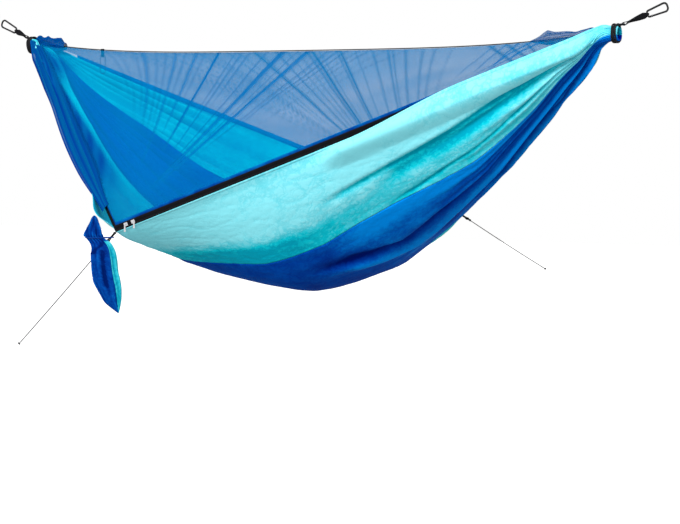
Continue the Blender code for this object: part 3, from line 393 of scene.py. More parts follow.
def fold_height(w, u):
    """How far folds, pulls and crinkles lift the cloth, and its painted shading: painted highlights on
    crests, the lip and streaks, painted shade in folds and valleys.
    """
    length = w * CUT_LENGTH / 2
    width = u * CUT_WIDTH
    neck = neck_share(w)
    lip = 1 / (1 + np.exp((u - np.interp(w, *LIP_CREASE)) / 0.0028))
    lip = lip * smooth((w - 0.22) / 0.14) * smooth((0.97 - w) / 0.08)
    under_lip = along_fold(w, u - 0.011, LIP_CREASE, 0.010, 0.22, 0.97)
    deep = along_fold(w, u, DEEP_FOLD, 0.024, 0.34, 0.98)
    low = along_fold(w, u, LOW_CREASE, 0.008, 0.34, 0.97)
    valley = along_fold(w, u, ROYAL_VALLEY, 0.020, 0.10, 0.78) * (1 - 0.65 * smooth((w - 0.5) / 0.12))
    streak = along_fold(w, u, ROYAL_STREAK, 0.022, 0.10, 0.95)
    hollow = along_fold(w, u, ROYAL_HOLLOW, 0.026, 0.30, 0.97)
    long_folds = (0.0075 * lip - 0.005 * under_lip - 0.010 * deep - 0.006 * low
                  - 0.013 * valley + 0.008 * streak - 0.007 * hollow)
    folds = (fanned_folds(w, u, length, width) + long_folds) * (1 - neck)
    pleats = neck * PLEAT_DEPTH * np.sin(2 * math.pi * PLEAT_COUNT * u)
    swell = SWELL_DEPTH * wave_field(length, width, 0.5, 8, 13, 2.0) * (1 - neck)
    crinkle = crinkles(length, width, np.abs(w))
    calm = smooth(np.minimum(u, 1 - u) / 0.03)
    height = (folds + swell + crinkle * (1 - neck)) * calm + pleats
    relief = (folds - long_folds + 0.4 * swell + 1.2 * crinkle) / RELIEF_UNIT
    # Aqua's painted shading: painted highlights on crests, the lip, a band by the zip and the left flap;
    # painted shade in the folds, under the lip, low in the middle and towards the left end.
    aqua = 0.70 + 0.5 * relief + 0.18 * lip
    aqua += 0.30 * bump(w, -0.05, 0.22) * smooth((0.17 - u) / 0.03) - 0.3 * smooth((-0.5 - w) / 0.2)
    aqua += 0.3 * bump(w, -0.28, 0.08) * smooth((0.12 - u) / 0.05)
    aqua -= 0.60 * under_lip + 0.55 * deep + 0.5 * low
    aqua -= 0.74 * smooth((u - 0.165) / 0.04) * bump(w, 0.02, 0.26)
    # Royal's painted shading: lighter towards the right, painted highlights in a band by the seam and on the
    # streak, painted shade in the valley and hollow.
    right = smooth((w - 0.16) / 0.18)
    royal = 0.38 + 0.5 * relief + 0.22 * right + 0.40 * bump(u, 0.275, 0.040) * right
    royal += (0.34 + 0.25 * smooth((w - 0.48) / 0.1)) * streak - 0.55 * valley - 0.50 * hollow
    shading_tone = np.where((u < SIDE_SHARE) | (u > 1 - SIDE_SHARE), aqua, royal)
    return height, np.clip(shading_tone, 0, 1)


# Meshes from grids of points

def grid_mesh(name, grid, lengths, widths, marks=None, around=False, caps=False):
    """A mesh with one vertex for each grid point and a map in real metres.

    Around joins the last row to the first, so each column is a closed section, and caps
    fills the two end sections.
    """
    columns, rows = grid.shape[:2]
    index = np.arange(columns * rows).reshape(columns, rows)
    if around:
        index = np.concatenate([index, index[:, :1]], axis=1)
    quads = np.stack([index[:-1, :-1], index[1:, :-1], index[1:, 1:], index[:-1, 1:]], axis=-1)
    faces = quads.reshape(-1, 4).tolist()
    if caps:
        faces.append(index[0, :rows][::-1].tolist())
        faces.append(index[-1, :rows].tolist())
    mesh = bpy.data.meshes.new(name)
    mesh.from_pydata(grid.reshape(-1, 3).tolist(), [], faces)
    set_map(mesh, np.broadcast_to(lengths, (columns, rows)), np.broadcast_to(widths, (columns, rows)))
    for mark, values in (marks or {}).items():
        set_mark(mesh, mark, np.broadcast_to(values, (columns, rows)))
    mesh.shade_smooth()
    return mesh


def set_map(mesh, lengths, widths):
    """Lay the cloth map of a mesh from a length and a width at each vertex."""
    corners = np.empty(len(mesh.loops), np.int32)
    mesh.loops.foreach_get("vertex_index", corners)
    layer = mesh.uv_layers.new(name="cloth")
    places = np.stack([lengths.ravel()[corners], widths.ravel()[corners]], 1)
    layer.data.foreach_set("uv", places.ravel())


def set_mark(mesh, name, values):
    """Store one number at each vertex."""
    layer = mesh.attributes.new(name, 'FLOAT', 'POINT')
    layer.data.foreach_set("value", np.ascontiguousarray(values, np.float32).ravel())


def add_piece(name, mesh, material, body="hammock"):
    """Link a piece, give it its material and let it ride."""
    piece = bpy.data.objects.new(name, mesh)
    bpy.context.scene.collection.objects.link(piece)
    mesh.materials.append(material)
    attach(piece, body)
    return piece


def thicken(piece, thickness):
    """Give an open sheet its real thickness."""
    step = piece.modifiers.new("thickness", 'SOLIDIFY')
    step.thickness = thickness
    step.offset = 0
    apply_modifiers(piece)


def turn_out(mesh, merge=0.0):
    """Merge points that lie closer than a distance, and turn all faces of closed shapes out."""
    grid = bmesh.new()
    grid.from_mesh(mesh)
    if merge:
        bmesh.ops.remove_doubles(grid, verts=grid.verts, dist=merge)
    bmesh.ops.recalc_face_normals(grid, faces=grid.faces)
    grid.to_mesh(mesh)
    grid.free()


def join_pieces(pieces):
    """Join pieces into the first one."""
    select_only(pieces[0])
    for piece in pieces[1:]:
        piece.select_set(True)
    bpy.ops.object.join()
    return pieces[0]


def carried_frames(path, closed=False):
    """Two unit ways across a path at each of its points, without needless twist."""
    path = np.asarray(path, float)
    if closed:
        ways = unit(np.roll(path, -1, axis=0) - np.roll(path, 1, axis=0))
    else:
        ways = unit(np.gradient(path, axis=0))
    first = np.cross(ways[0], UP if abs(ways[0][2]) < 0.9 else np.array((1.0, 0, 0)))
    sides = [unit(first)]
    for way in ways[1:]:
        side = sides[-1] - way * sides[-1].dot(way)
        sides.append(unit(side))
    sides = np.array(sides)
    if closed:
        end = sides[-1] - ways[0] * sides[-1].dot(ways[0])
        twist = math.atan2(ways[0].dot(np.cross(unit(end), sides[0])), unit(end).dot(sides[0]))
        turn = twist * np.arange(len(path))[:, None] / len(path)
        sides = sides * np.cos(turn) + np.cross(ways, sides) * np.sin(turn)
    return sides, np.cross(ways, sides)


def tube_mesh(name, path, radius, sides=12, closed=False):
    """A round cord along a path."""
    path = np.asarray(path, float)
    first, second = carried_frames(path, closed)
    if closed:
        path = np.concatenate([path, path[:1]])
        first = np.concatenate([first, first[:1]])
        second = np.concatenate([second, second[:1]])
    angles = full_turn(sides)
    ring = (first[:, None] * np.cos(angles)[None, :, None]
            + second[:, None] * np.sin(angles)[None, :, None])
    widths = radius * np.abs(angles - math.pi)
    mesh = grid_mesh(name, path[:, None] + ring * radius, lengths_along(path)[:, None], widths[None, :],
                     around=True, caps=not closed)
    if closed:
        turn_out(mesh, SEAM_MERGE)
    return mesh


def add_tube(name, path, radius, sides, material, closed=True, body="hammock"):
    """A piece of round cord along a path, closed to a ring unless told otherwise."""
    return add_piece(name, tube_mesh(name, path, radius, sides, closed), material, body)


def flow_line(points, count):
    """Even points on a smooth curve through a few chosen rows of numbers."""
    points = np.asarray(points, float)
    padded = np.concatenate([points[:1], points, points[-1:]])
    dense = []
    for index in range(len(points) - 1):
        before, start, end, after = padded[index:index + 4]
        share = np.linspace(0, 1, 24, endpoint=False)[:, None]
        dense.append(0.5 * (2 * start + (end - before) * share
                            + (2 * before - 5 * start + 4 * end - after) * share ** 2
                            + (3 * start - before - 3 * end + after) * share ** 3))
    dense = np.concatenate(dense + [points[-1:]])
    lengths = lengths_along(dense)
    return points_at(np.linspace(0, lengths[-1], count), lengths, dense)


# Finishes

def new_material(name):
    """A material with its shader."""
    material = bpy.data.materials.new(name)
    material.use_nodes = True
    return material, Maker(material.node_tree), material.node_tree.nodes["Principled BSDF"]


class Maker:
    """Short calls for a node tree."""

    def __init__(self, tree):
        self.tree = tree
        self.nodes = tree.nodes

    def add(self, kind, **sockets):
        """A node with its inputs set or linked by name."""
        node = self.nodes.new(kind)
        for name, value in sockets.items():
            self.put(node.inputs[name.replace("_", " ")], value)
        return node

    def put(self, socket, value):
        """Set an input, or link it when the value is another node's output."""
        if isinstance(value, bpy.types.NodeSocket):
            self.tree.links.new(value, socket)
        else:
            socket.default_value = value

    def math(self, operation, *values, clamp=False):
        """Output of a Math node."""
        node = self.nodes.new("ShaderNodeMath")
        node.operation = operation
        node.use_clamp = clamp
        for socket, value in zip(node.inputs, values):
            self.put(socket, value)
        return node.outputs[0]

    def mix(self, share, first, second):
        """Output of a colour mix."""
        node = self.nodes.new("ShaderNodeMix")
        node.data_type = 'RGBA'
        self.put(node.inputs["Factor"], share)
        self.put(node.inputs["A"], first)
        self.put(node.inputs["B"], second)
        return node.outputs["Result"]

    def ramp(self, value, stops):
        """Output of a colour ramp with its stops."""
        node = self.nodes.new("ShaderNodeValToRGB")
        self.put(node.inputs["Fac"], value)
        elements = node.color_ramp.elements
        while len(elements) < len(stops):
            elements.new(0.5)
        for element, (place, colour) in zip(elements, stops):
            element.position = place
            element.color = (*colour, 1)
        return node.outputs["Color"]

    def noise(self, vector, scale, detail=3.0, roughness=0.5):
        """Output of a noise texture."""
        node = self.add("ShaderNodeTexNoise", Vector=vector, Scale=scale, Detail=detail,
                        Roughness=roughness)
        return node.outputs["Fac"]

    def scaled(self, vector, size):
        """A vector times a size."""
        node = self.nodes.new("ShaderNodeVectorMath")
        node.operation = 'SCALE'
        self.put(node.inputs[0], vector)
        self.put(node.inputs["Scale"], size)
        return node.outputs[0]

    def cloth_map(self):
        """The piece's map in metres."""
        node = self.nodes.new("ShaderNodeUVMap")
        node.uv_map = "cloth"
        return node.outputs["UV"]

    def mark(self, name):
        """A number stored at each vertex."""
        node = self.nodes.new("ShaderNodeAttribute")
        node.attribute_name = name
        return node.outputs["Fac"]

    def effect(self, group, **values):
        """A node group placed with its own values."""
        node = self.nodes.new("ShaderNodeGroup")
        node.node_tree = group
        for name, value in values.items():
            self.put(node.inputs[name.replace("_", " ")], value)
        return node.outputs


def new_group(name, inputs, outputs):
    """An empty node group with named inputs and outputs."""
    group = bpy.data.node_groups.new(name, 'ShaderNodeTree')
    for label, kind, value in inputs:
        socket = group.interface.new_socket(label, in_out='INPUT', socket_type=kind)
        if value is not None:
            socket.default_value = value
    for label, kind in outputs:
        group.interface.new_socket(label, in_out='OUTPUT', socket_type=kind)
    maker = Maker(group)
    return group, maker, group.nodes.new("NodeGroupInput").outputs, group.nodes.new("NodeGroupOutput").inputs


def make_crinkle_group():
    """Crinkles of thin cloth: a tone to add to the folds' painted shading, with random clouds and painted
    shade along the crinkles' creases, and a fine relief.
    """
    group, maker, given, made = new_group(
        "crinkle", [("Place", 'NodeSocketVector', None), ("Tone", 'NodeSocketFloat', 0.5),
                    ("Cloud", 'NodeSocketFloat', 0.4), ("Size", 'NodeSocketFloat', 1.0),
                    ("Creases", 'NodeSocketFloat', 1.6)],
        [("Tone", 'NodeSocketFloat'), ("Relief", 'NodeSocketFloat')])
    place = maker.scaled(given["Place"], given["Size"])
    cloud = maker.noise(place, 13.0, 6.0, 0.62)
    first = maker.math('ABSOLUTE', maker.math('SUBTRACT', maker.noise(place, 15.0, 3.0, 0.55), 0.5))
    second = maker.math('ABSOLUTE', maker.math('SUBTRACT', maker.noise(place, 31.0, 4.0, 0.6), 0.5))
    edges = maker.math('MINIMUM', maker.math('MULTIPLY', first, 2.4), maker.math('MULTIPLY', second, 1.6))
    edges = maker.math('MINIMUM', edges, 0.12)
    fine = maker.noise(place, 70.0, 5.0, 0.6)
    shift = maker.math('MULTIPLY', maker.math('SUBTRACT', cloud, 0.5), given["Cloud"])
    shading_tone = maker.math('ADD', given["Tone"], shift)
    # Painted shade along the crinkles' creases.
    shading_tone = maker.math('MULTIPLY_ADD', maker.math('SUBTRACT', edges, 0.10), given["Creases"], shading_tone)
    maker.put(made["Tone"], shading_tone)
    maker.put(made["Relief"], maker.math('MULTIPLY_ADD', edges, 5.0, fine))
    return group


def make_weave_group():
    """Over and under of a woven tape, from the piece's map."""
    group, maker, given, made = new_group(
        "weave", [("Place", 'NodeSocketVector', None), ("Pitch along", 'NodeSocketFloat', 0.002),
                  ("Pitch across", 'NodeSocketFloat', 0.0015), ("Slant", 'NodeSocketFloat', 0.0)],
        [("Thread", 'NodeSocketFloat'), ("Relief", 'NodeSocketFloat')])
    parts = maker.add("ShaderNodeSeparateXYZ", Vector=given["Place"])
    across = maker.math('DIVIDE', parts.outputs["Y"], given["Pitch across"])
    along = maker.math('DIVIDE', parts.outputs["X"], given["Pitch along"])
    slanted = maker.math('MULTIPLY_ADD', across, given["Slant"], along)
    turn = 2 * math.pi
    first = maker.math('SINE', maker.math('MULTIPLY', slanted, turn))
    second = maker.math('SINE', maker.math('MULTIPLY', across, turn))
    woven = maker.math('MULTIPLY', first, second)
    maker.put(made["Thread"], maker.math('MULTIPLY_ADD', woven, 0.5, 0.5, clamp=True))
    maker.put(made["Relief"], woven)
    return group


def make_braid_group():
    """Strands that cross round a cord, from the cord's map."""
    group, maker, given, made = new_group(
        "braid", [("Place", 'NodeSocketVector', None), ("Pitch", 'NodeSocketFloat', 0.004)],
        [("Strand", 'NodeSocketFloat'), ("Relief", 'NodeSocketFloat')])
    parts = maker.add("ShaderNodeSeparateXYZ", Vector=given["Place"])
    turn = 2 * math.pi
    along = maker.math('MULTIPLY', maker.math('DIVIDE', parts.outputs["X"], given["Pitch"]), turn)
    around = maker.math('MULTIPLY', maker.math('DIVIDE', parts.outputs["Y"], given["Pitch"]), turn)
    right = maker.math('SINE', maker.math('ADD', along, around))
    left = maker.math('SINE', maker.math('SUBTRACT', along, around))
    strand = maker.math('MAXIMUM', right, left)
    maker.put(made["Strand"], maker.math('MULTIPLY_ADD', strand, 0.5, 0.5, clamp=True))
    maker.put(made["Relief"], strand)
    return group


def make_wear_group():
    """Scuffs and slightly rubbed places of metal."""
    group, maker, given, made = new_group(
        "wear", [("Place", 'NodeSocketVector', None), ("Size", 'NodeSocketFloat', 1.0)],
        [("Wear", 'NodeSocketFloat'), ("Relief", 'NodeSocketFloat')])
    place = maker.scaled(given["Place"], given["Size"])
    spots = maker.noise(place, 420.0, 8.0, 0.7)
    fine = maker.noise(place, 2400.0, 3.0, 0.5)
    maker.put(made["Wear"], maker.math('MULTIPLY', maker.math('SUBTRACT', spots, 0.52), 5.0, clamp=True))
    maker.put(made["Relief"], fine)
    return group


CRINKLE = make_crinkle_group()
WEAVE = make_weave_group()
BRAID = make_braid_group()
WEAR = make_wear_group()


def set_values(shader, **values):
    """Set plain values on the shader's own sockets."""
    for name, value in values.items():
        shader.inputs[name.replace("_", " ")].default_value = value


def set_relief(maker, shader, height, strength, distance):
    """Feed a height to the shader's normal."""
    node = maker.add("ShaderNodeBump", Height=height, Strength=strength, Distance=distance)
    maker.put(shader.inputs["Normal"], node.outputs["Normal"])


# Places of a nylon's four colours on its shading tone, from painted shade in the folds to painted highlights
# on the crests
TONES = (0.0, 0.25, 0.5, 0.85)
ROYAL_SHEEN = (0.0, 0.35, 1.0)


def nylon_finish(name, outer, inner, sheen_tint, size=1.0, creases=1.6):
    """Thin crinkled nylon with painted shading: a painted highlight where it stands up to the light, painted
    shade in its folds.

    Outer and inner are each face's colours from its deepest folds up to its crests.
    """
    material, maker, shader = new_material(name)
    crinkle = maker.effect(CRINKLE, Place=maker.cloth_map(), Tone=maker.mark("shading_tone"), Cloud=0.55, Size=size,
                           Creases=creases)
    outside = maker.ramp(crinkle["Tone"], list(zip(TONES, outer)))
    inside = maker.ramp(crinkle["Tone"], list(zip(TONES, inner)))
    # Outer colours for the outer face, darker inner colours with painted shade for the inner face.
    maker.put(shader.inputs["Base Color"], maker.mix(maker.mark("inside"), outside, inside))
    set_relief(maker, shader, crinkle["Relief"], 0.35, 0.0012)
    set_values(shader, Roughness=0.5, Specular_IOR_Level=0.05, IOR=1.12, Sheen_Weight=0.06,
               Sheen_Roughness=0.4, Sheen_Tint=(*sheen_tint, 1))
    return material


def net_finish(name, colour, deep_colour, bunched):
    """Fine knitted mesh: its cover is stored at each vertex, and it deepens where it doubles."""
    material, maker, shader = new_material(name)
    place = maker.cloth_map()
    cloud = maker.noise(place, 5.0, 4.0, 0.6)
    grain = maker.noise(place, 320.0, 2.0, 0.5)
    knit = maker.effect(WEAVE, Place=place, Pitch_along=0.0024, Pitch_across=0.0017, Slant=0.5)
    cover = maker.math('MULTIPLY_ADD', maker.math('SUBTRACT', cloud, 0.5), 0.14, maker.mark("cover"))
    cover = maker.math('MULTIPLY_ADD', maker.math('SUBTRACT', grain, 0.5), 0.16, cover)
    cover = maker.math('MULTIPLY_ADD', maker.math('SUBTRACT', knit["Thread"], 0.5), 0.08, cover, clamp=True)
    maker.put(shader.inputs["Alpha"], cover)
    plain = maker.mix(cloud, (*colour, 1), (*deep_colour, 1))
    maker.put(shader.inputs["Base Color"], maker.mix(maker.mark("deep"), plain, (*bunched, 1)))
    set_relief(maker, shader, knit["Relief"], 0.3, 0.0004)
    set_values(shader, Roughness=0.8, Specular_IOR_Level=0.0)
    return material


def thread_finish(name, colours, threads, patches, relief, roughness, gloss):
    """Threads paler on their crowns in patches: their group, its mask and its sizes, a noise and a bump."""
    material, maker, shader = new_material(name)
    place = maker.cloth_map()
    group, mask, sizes = threads
    effect = maker.effect(group, Place=place, **sizes)
    # Paler on the threads' crowns where the noise is high.
    share = maker.math('MULTIPLY', effect[mask], maker.noise(place, *patches))
    colour, pale = ((*shade, 1) for shade in colours)
    maker.put(shader.inputs["Base Color"], maker.mix(share, colour, pale))
    set_relief(maker, shader, effect["Relief"], *relief)
    set_values(shader, Roughness=roughness, Specular_IOR_Level=gloss)
    return material


def tape_finish(name, colour, pale, along, across):
    """Woven tape or webbing."""
    threads = (WEAVE, "Thread", {"Pitch_along": along, "Pitch_across": across, "Slant": 0.5})
    return thread_finish(name, (colour, pale), threads, (60.0, 4.0, 0.6), (0.5, 0.0004), 0.85, 0.10)


def cord_finish(name, colour, pale, pitch):
    """Braided cord."""
    threads = (BRAID, "Strand", {"Pitch": pitch})
    return thread_finish(name, (colour, pale), threads, (90.0, 3.0, 0.5), (0.7, 0.0005), 0.75, 0.15)


def metal_finish(name, colour, worn, roughness, metallic):
    """Coated or plated metal with slight wear."""
    material, maker, shader = new_material(name)
    place = maker.nodes.new("ShaderNodeTexCoord").outputs["Object"]
    wear = maker.effect(WEAR, Place=place, Size=1.0)
    maker.put(shader.inputs["Base Color"], maker.mix(wear["Wear"], (*colour, 1), (*worn, 1)))
    maker.put(shader.inputs["Roughness"], maker.math('MULTIPLY_ADD', wear["Wear"], 0.18, roughness))
    set_relief(maker, shader, wear["Relief"], 0.08, 0.0001)
    set_values(shader, Metallic=metallic)
    return material


# Each nylon's outer colours run from painted shade in the deepest folds to a painted sheen on the pale
# crests; AQUA's and ROYAL's inner colours are darker copies with painted shade for the inner faces.
AQUA = nylon_finish(
    "aqua nylon",
    ((0.0005, 0.40, 0.56), (0.004, 0.62, 0.74), (0.08, 0.71, 0.84), (0.29, 0.90, 1.0)),
    ((0.0003, 0.30, 0.47), (0.0004, 0.43, 0.58), (0.0006, 0.54, 0.67), (0.002, 0.66, 0.76)),
    (0.3, 0.95, 1.0))
ROYAL = nylon_finish(
    "royal nylon",
    ((0.0001, 0.009, 0.17), (0.0002, 0.034, 0.32), (0.0003, 0.085, 0.49), (0.0006, 0.27, 0.86)),
    ((0.0001, 0.003, 0.19), (0.0001, 0.005, 0.25), (0.0002, 0.009, 0.31), (0.0003, 0.022, 0.42)),
    ROYAL_SHEEN, creases=0.7)
NET_FINISH = net_finish("royal net", (0.0008, 0.195, 0.45), (0.0006, 0.165, 0.40), (0.0005, 0.035, 0.25))
BORDER = nylon_finish(
    "royal border",
    ((0.0002, 0.012, 0.12), (0.0003, 0.026, 0.19), (0.0005, 0.05, 0.27), (0.001, 0.10, 0.40)),
    ((0.0002, 0.03, 0.20), (0.0003, 0.05, 0.27), (0.0005, 0.08, 0.33), (0.001, 0.13, 0.42)),
    ROYAL_SHEEN)
SACK = nylon_finish(
    "sack nylon",
    ((0.0003, 0.010, 0.11), (0.0005, 0.030, 0.22), (0.001, 0.060, 0.32), (0.003, 0.15, 0.50)),
    ((0.002, 0.24, 0.38), (0.008, 0.38, 0.50), (0.05, 0.54, 0.64), (0.15, 0.72, 0.80)),
    ROYAL_SHEEN, size=1.6)
BLACK_TAPE = tape_finish("black tape", (0.003, 0.003, 0.004), (0.02, 0.02, 0.024), 0.0022, 0.0016)
COIL_BLACK = tape_finish("black coil", (0.002, 0.002, 0.003), (0.012, 0.012, 0.015), 0.0015, 0.0040)
BLACK_CORD = cord_finish("black cord", (0.004, 0.004, 0.005), (0.03, 0.03, 0.035), 0.0034)
GREY_CORD = cord_finish("grey cord", (0.006, 0.006, 0.007), (0.035, 0.035, 0.04), 0.0026)
BLUE_CORD = cord_finish("blue drawcord", (0.001, 0.03, 0.22), (0.004, 0.09, 0.45), 0.0026)
BLACK_METAL = metal_finish("black coated steel", (0.006, 0.006, 0.007), (0.03, 0.03, 0.032), 0.36, 0.25)
BRIGHT_METAL = metal_finish("bright plated metal", (0.78, 0.78, 0.80), (0.62, 0.62, 0.64), 0.20, 1.0)
SLOT_FINISH = {"royal_cloth": ROYAL, "aqua_cloth": AQUA, "royal_net": NET_FINISH, "black_webbing": BLACK_TAPE,
               "black_cord": BLACK_CORD, "grey_cord": GREY_CORD, "black_metal": BLACK_METAL,
               "bright_metal": BRIGHT_METAL}


def finish_nodes():
    """Give every carried-over node the finish of its slot."""
    for part in frame["record"]["subparts"]:
        node = NODES[part["node"]]
        node.data.materials.clear()
        node.data.materials.append(SLOT_FINISH[part["material_slot"]])


# Cloth panels

def cloth_grid(w, u, lift=0.0):
    """Points of the folded cloth and its painted shading; lift is how far they stand off the surface."""
    grid = lip_cloth(w, u)
    normals = grid_normals(grid)
    height, shading_tone = fold_height(w[:, None], u[None, :])
    return grid + normals * (height + lift)[..., None] + MIDDLE, shading_tone


def make_panel(name, first, last, rows, material, thickness=CLOTH, lift=0.0):
    """One sheet of the cloth between two shares of its width, with its folds."""
    w = np.linspace(-1, 1, PANEL_STATIONS)
    u = np.linspace(first, last, rows)
    grid, shading_tone = cloth_grid(w, u, lift)
    marks = {"shading_tone": shading_tone, "inside": np.zeros_like(shading_tone)}
    mesh = grid_mesh(name, grid, w[:, None] * CUT_LENGTH / 2, u[None, :] * CUT_WIDTH, marks)
    piece = add_piece(name, mesh, material)
    thicken(piece, thickness)
    mark_inside(piece, shading_tone)
    return piece


def mark_inside(piece, shading_tone):
    """Mark the inner face, whose painted shading turns the outside's over: its crests are the outside's
    valleys.
    """
    count = shading_tone.size
    mesh = piece.data
    place = np.empty(len(mesh.vertices) * 3)
    mesh.vertices.foreach_get("co", place)
    place = place.reshape(-1, 3)
    columns, rows = shading_tone.shape
    middle = place[:count].reshape(columns, rows, 3)
    across = (place[count:2 * count] - place[:count]).reshape(columns, rows, 3)
    outward = grid_normals(middle)
    second_outside = np.median((across * outward).sum(axis=2)) > 0
    inner = slice(0, count) if second_outside else slice(count, 2 * count)
    tones = np.empty(len(mesh.vertices), np.float32)
    mesh.attributes["shading_tone"].data.foreach_get("value", tones)
    # Painted shading of the inner face: the outside's turned over and a little deeper.
    tones[inner] = np.clip(0.45 - 0.8 * (shading_tone.ravel() - 0.5), 0, 1)
    mesh.attributes["shading_tone"].data.foreach_set("value", tones)
    insides = np.zeros(len(mesh.vertices), np.float32)
    insides[inner] = 1
    mesh.attributes["inside"].data.foreach_set("value", insides)


def make_cloth():
    """The two aqua panels, the royal one between them, and the ribbons of their seams and hem."""
    inset = SEAM_GAP / CUT_WIDTH
    half = SEAM_RIBBON / 2 / CUT_WIDTH
    reach = 1.2 * half
    near = make_panel("near_cloth", 0.0, SIDE_SHARE - inset, 65, AQUA)
    centre = make_panel("centre_cloth", SIDE_SHARE + inset, 1 - SIDE_SHARE - inset, 101, ROYAL)
    far = make_panel("far_cloth", 1 - SIDE_SHARE + inset, 1.0, 57, AQUA)
    for name, middle in (("near_seam_ribbon", SIDE_SHARE + half),
                         ("far_seam_ribbon", 1 - SIDE_SHARE - half)):
        make_panel(name, middle - reach, middle + reach, 4, ROYAL,
                                  SEAM_RIBBON_THICKNESS, -CLOTH)
    hem = make_panel("near_hem", 0.0, 0.0055, 4, AQUA, SEAM_RIBBON_THICKNESS, CLOTH)
    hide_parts("near_panel")
    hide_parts("centre_panel")
    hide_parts("far_panel")


# Strips along the edges

def edge_run(side):
    """Foot points of a strip along an edge, its level way out, and its distance along."""
    marks = np.unique(np.append(np.linspace(-STRIP_END, STRIP_END, STRIP_STATIONS), side * CORNER_W))
    foot = edge_points(marks, side) + MIDDLE
    level = unit(np.cross(np.gradient(foot, axis=0), UP) * (-side))
    return foot, level, lengths_along(foot)


def strip_profile(low, height, thickness):
    """Closed section of a strip: how far out and how high each corner stands."""
    half = thickness / 2
    cut = min(thickness, height) * 0.25
    top = low + height
    middle = (low + top) / 2
    return np.array([(-half, low + cut), (-half, middle), (-half, top - cut), (-half + cut, top),
                     (half - cut, top), (half, top - cut), (half, middle), (half, low + cut),
                     (half - cut, low), (cut - half, low)])


def make_edge_strip(name, side, low, height, thickness, material, ripple=0.0):
    """A strip that stands on an edge from one end of the net to the other."""
    foot, level, lengths = edge_run(side)
    profile = strip_profile(low, height, thickness)
    sway = ripple * wave_field(lengths, 0 * lengths, 0.06, 10, 31 + side)
    out = profile[None, :, 0] + sway[:, None] * ((profile[None, :, 1] - low) / height)
    grid = foot[:, None] + level[:, None] * out[..., None] + UP * profile[None, :, 1, None]
    # Painted shading of the border: a painted highlight towards its top and where it sways out.
    shading_tone = 0.30 + 0.45 * (profile[None, :, 1] - low) / height + 0.10 * sway[:, None] / max(ripple, 1e-6)
    marks = {"shading_tone": np.clip(shading_tone, 0, 1), "inside": np.ones((len(foot), 1))}
    mesh = grid_mesh(name, grid, lengths[:, None], profile[None, :, 1], marks, around=True, caps=True)
    turn_out(mesh)
    piece = add_piece(name, mesh, material)
    mesh.set_sharp_from_angle(angle=math.radians(50))
    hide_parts(name.replace("woven_", ""))
    return piece


def make_tooth():
    """One turn of the zip's coil, as it shows from outside: a rounded peg."""
    bpy.ops.object.select_all(action='DESELECT')
    bpy.ops.mesh.primitive_cylinder_add(vertices=6, radius=0.5, depth=1.0)
    tooth = bpy.context.object
    bpy.ops.object.mode_set(mode='EDIT')
    bpy.ops.mesh.select_all(action='SELECT')
    bpy.ops.mesh.bevel(offset=0.12, segments=1, affect='EDGES')
    bpy.ops.object.mode_set(mode='OBJECT')
    places = np.array([vertex.co[:] for vertex in tooth.data.vertices])
    faces = [list(face.vertices) for face in tooth.data.polygons]
    bpy.data.objects.remove(tooth)
    return places, faces


def make_coil(name, low, below):
    """A zip coil: a row of close pegs along the near edge, on a thin core that starts below them."""
    foot, level, lengths = edge_run(-1)
    count = int(lengths[-1] / TOOTH_PITCH) - 1
    at = (np.arange(count) + 1) * TOOTH_PITCH
    centre = points_at(at, lengths, foot)
    out = points_at(at, lengths, level)
    way = unit(np.gradient(centre, axis=0))
    places, faces = make_tooth()
    size = np.array((TOOTH_WIDTH, TOOTH_PITCH * 0.86, COIL_HEIGHT))
    grid = (centre[:, None] + UP * (low + COIL_HEIGHT / 2)
            + out[:, None] * places[None, :, :1] * size[0]
            + way[:, None] * places[None, :, 1:2] * size[1]
            + UP * places[None, :, 2:3] * size[2])
    mesh = bpy.data.meshes.new(name)
    step = len(places)
    all_faces = [[corner + step * turn for corner in face] for turn in range(count) for face in faces]
    mesh.from_pydata(grid.reshape(-1, 3).tolist(), [], all_faces)
    wide = places[None, :, 0] * size[0] + 0 * at[:, None]
    set_map(mesh, at[:, None] + 0 * wide, wide)
    piece = add_piece("woven_" + name, mesh, COIL_BLACK)
    core = strip_profile(low - below, COIL_HEIGHT + 0.0015, CORE_THICKNESS)
    core_grid = foot[:, None] + level[:, None] * core[None, :, :1] + UP * core[None, :, 1:]
    core_mesh = grid_mesh(name + "_core", core_grid, lengths[:, None], core[None, :, 1],
                          around=True, caps=True)
    piece = join_pieces([piece, add_piece(name + "_core", core_mesh, COIL_BLACK)])
    turn_out(piece.data)
    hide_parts(name)


def make_strips():
    """Zip tapes, coils and the royal borders that carry the net."""
    for name, low, height in (("woven_zip_lower_tape", TAPE_LOW, TAPE_HEIGHT + SEWN_UNDER),
                              ("woven_zip_upper_tape", UPPER_TAPE_LOW, TAPE_HEIGHT)):
        make_edge_strip(name, -1, low, height, TAPE_THICKNESS, BLACK_TAPE)
    make_coil("zip_lower_coil", COIL_LOW, below=0.0005)
    make_coil("zip_upper_coil", UPPER_COIL_LOW, below=0.0010)
    near = make_edge_strip("woven_near_border", -1, NEAR_BORDER_LOW, NEAR_BORDER_HEIGHT,
                           BORDER_THICKNESS, BORDER, ripple=0.0004)
    far = make_edge_strip("woven_far_border", 1, FAR_BORDER_LOW, FAR_BORDER_HEIGHT,
                          BORDER_THICKNESS, BORDER, ripple=0.0009)
    return near, far


# Net, hung from the ridge line

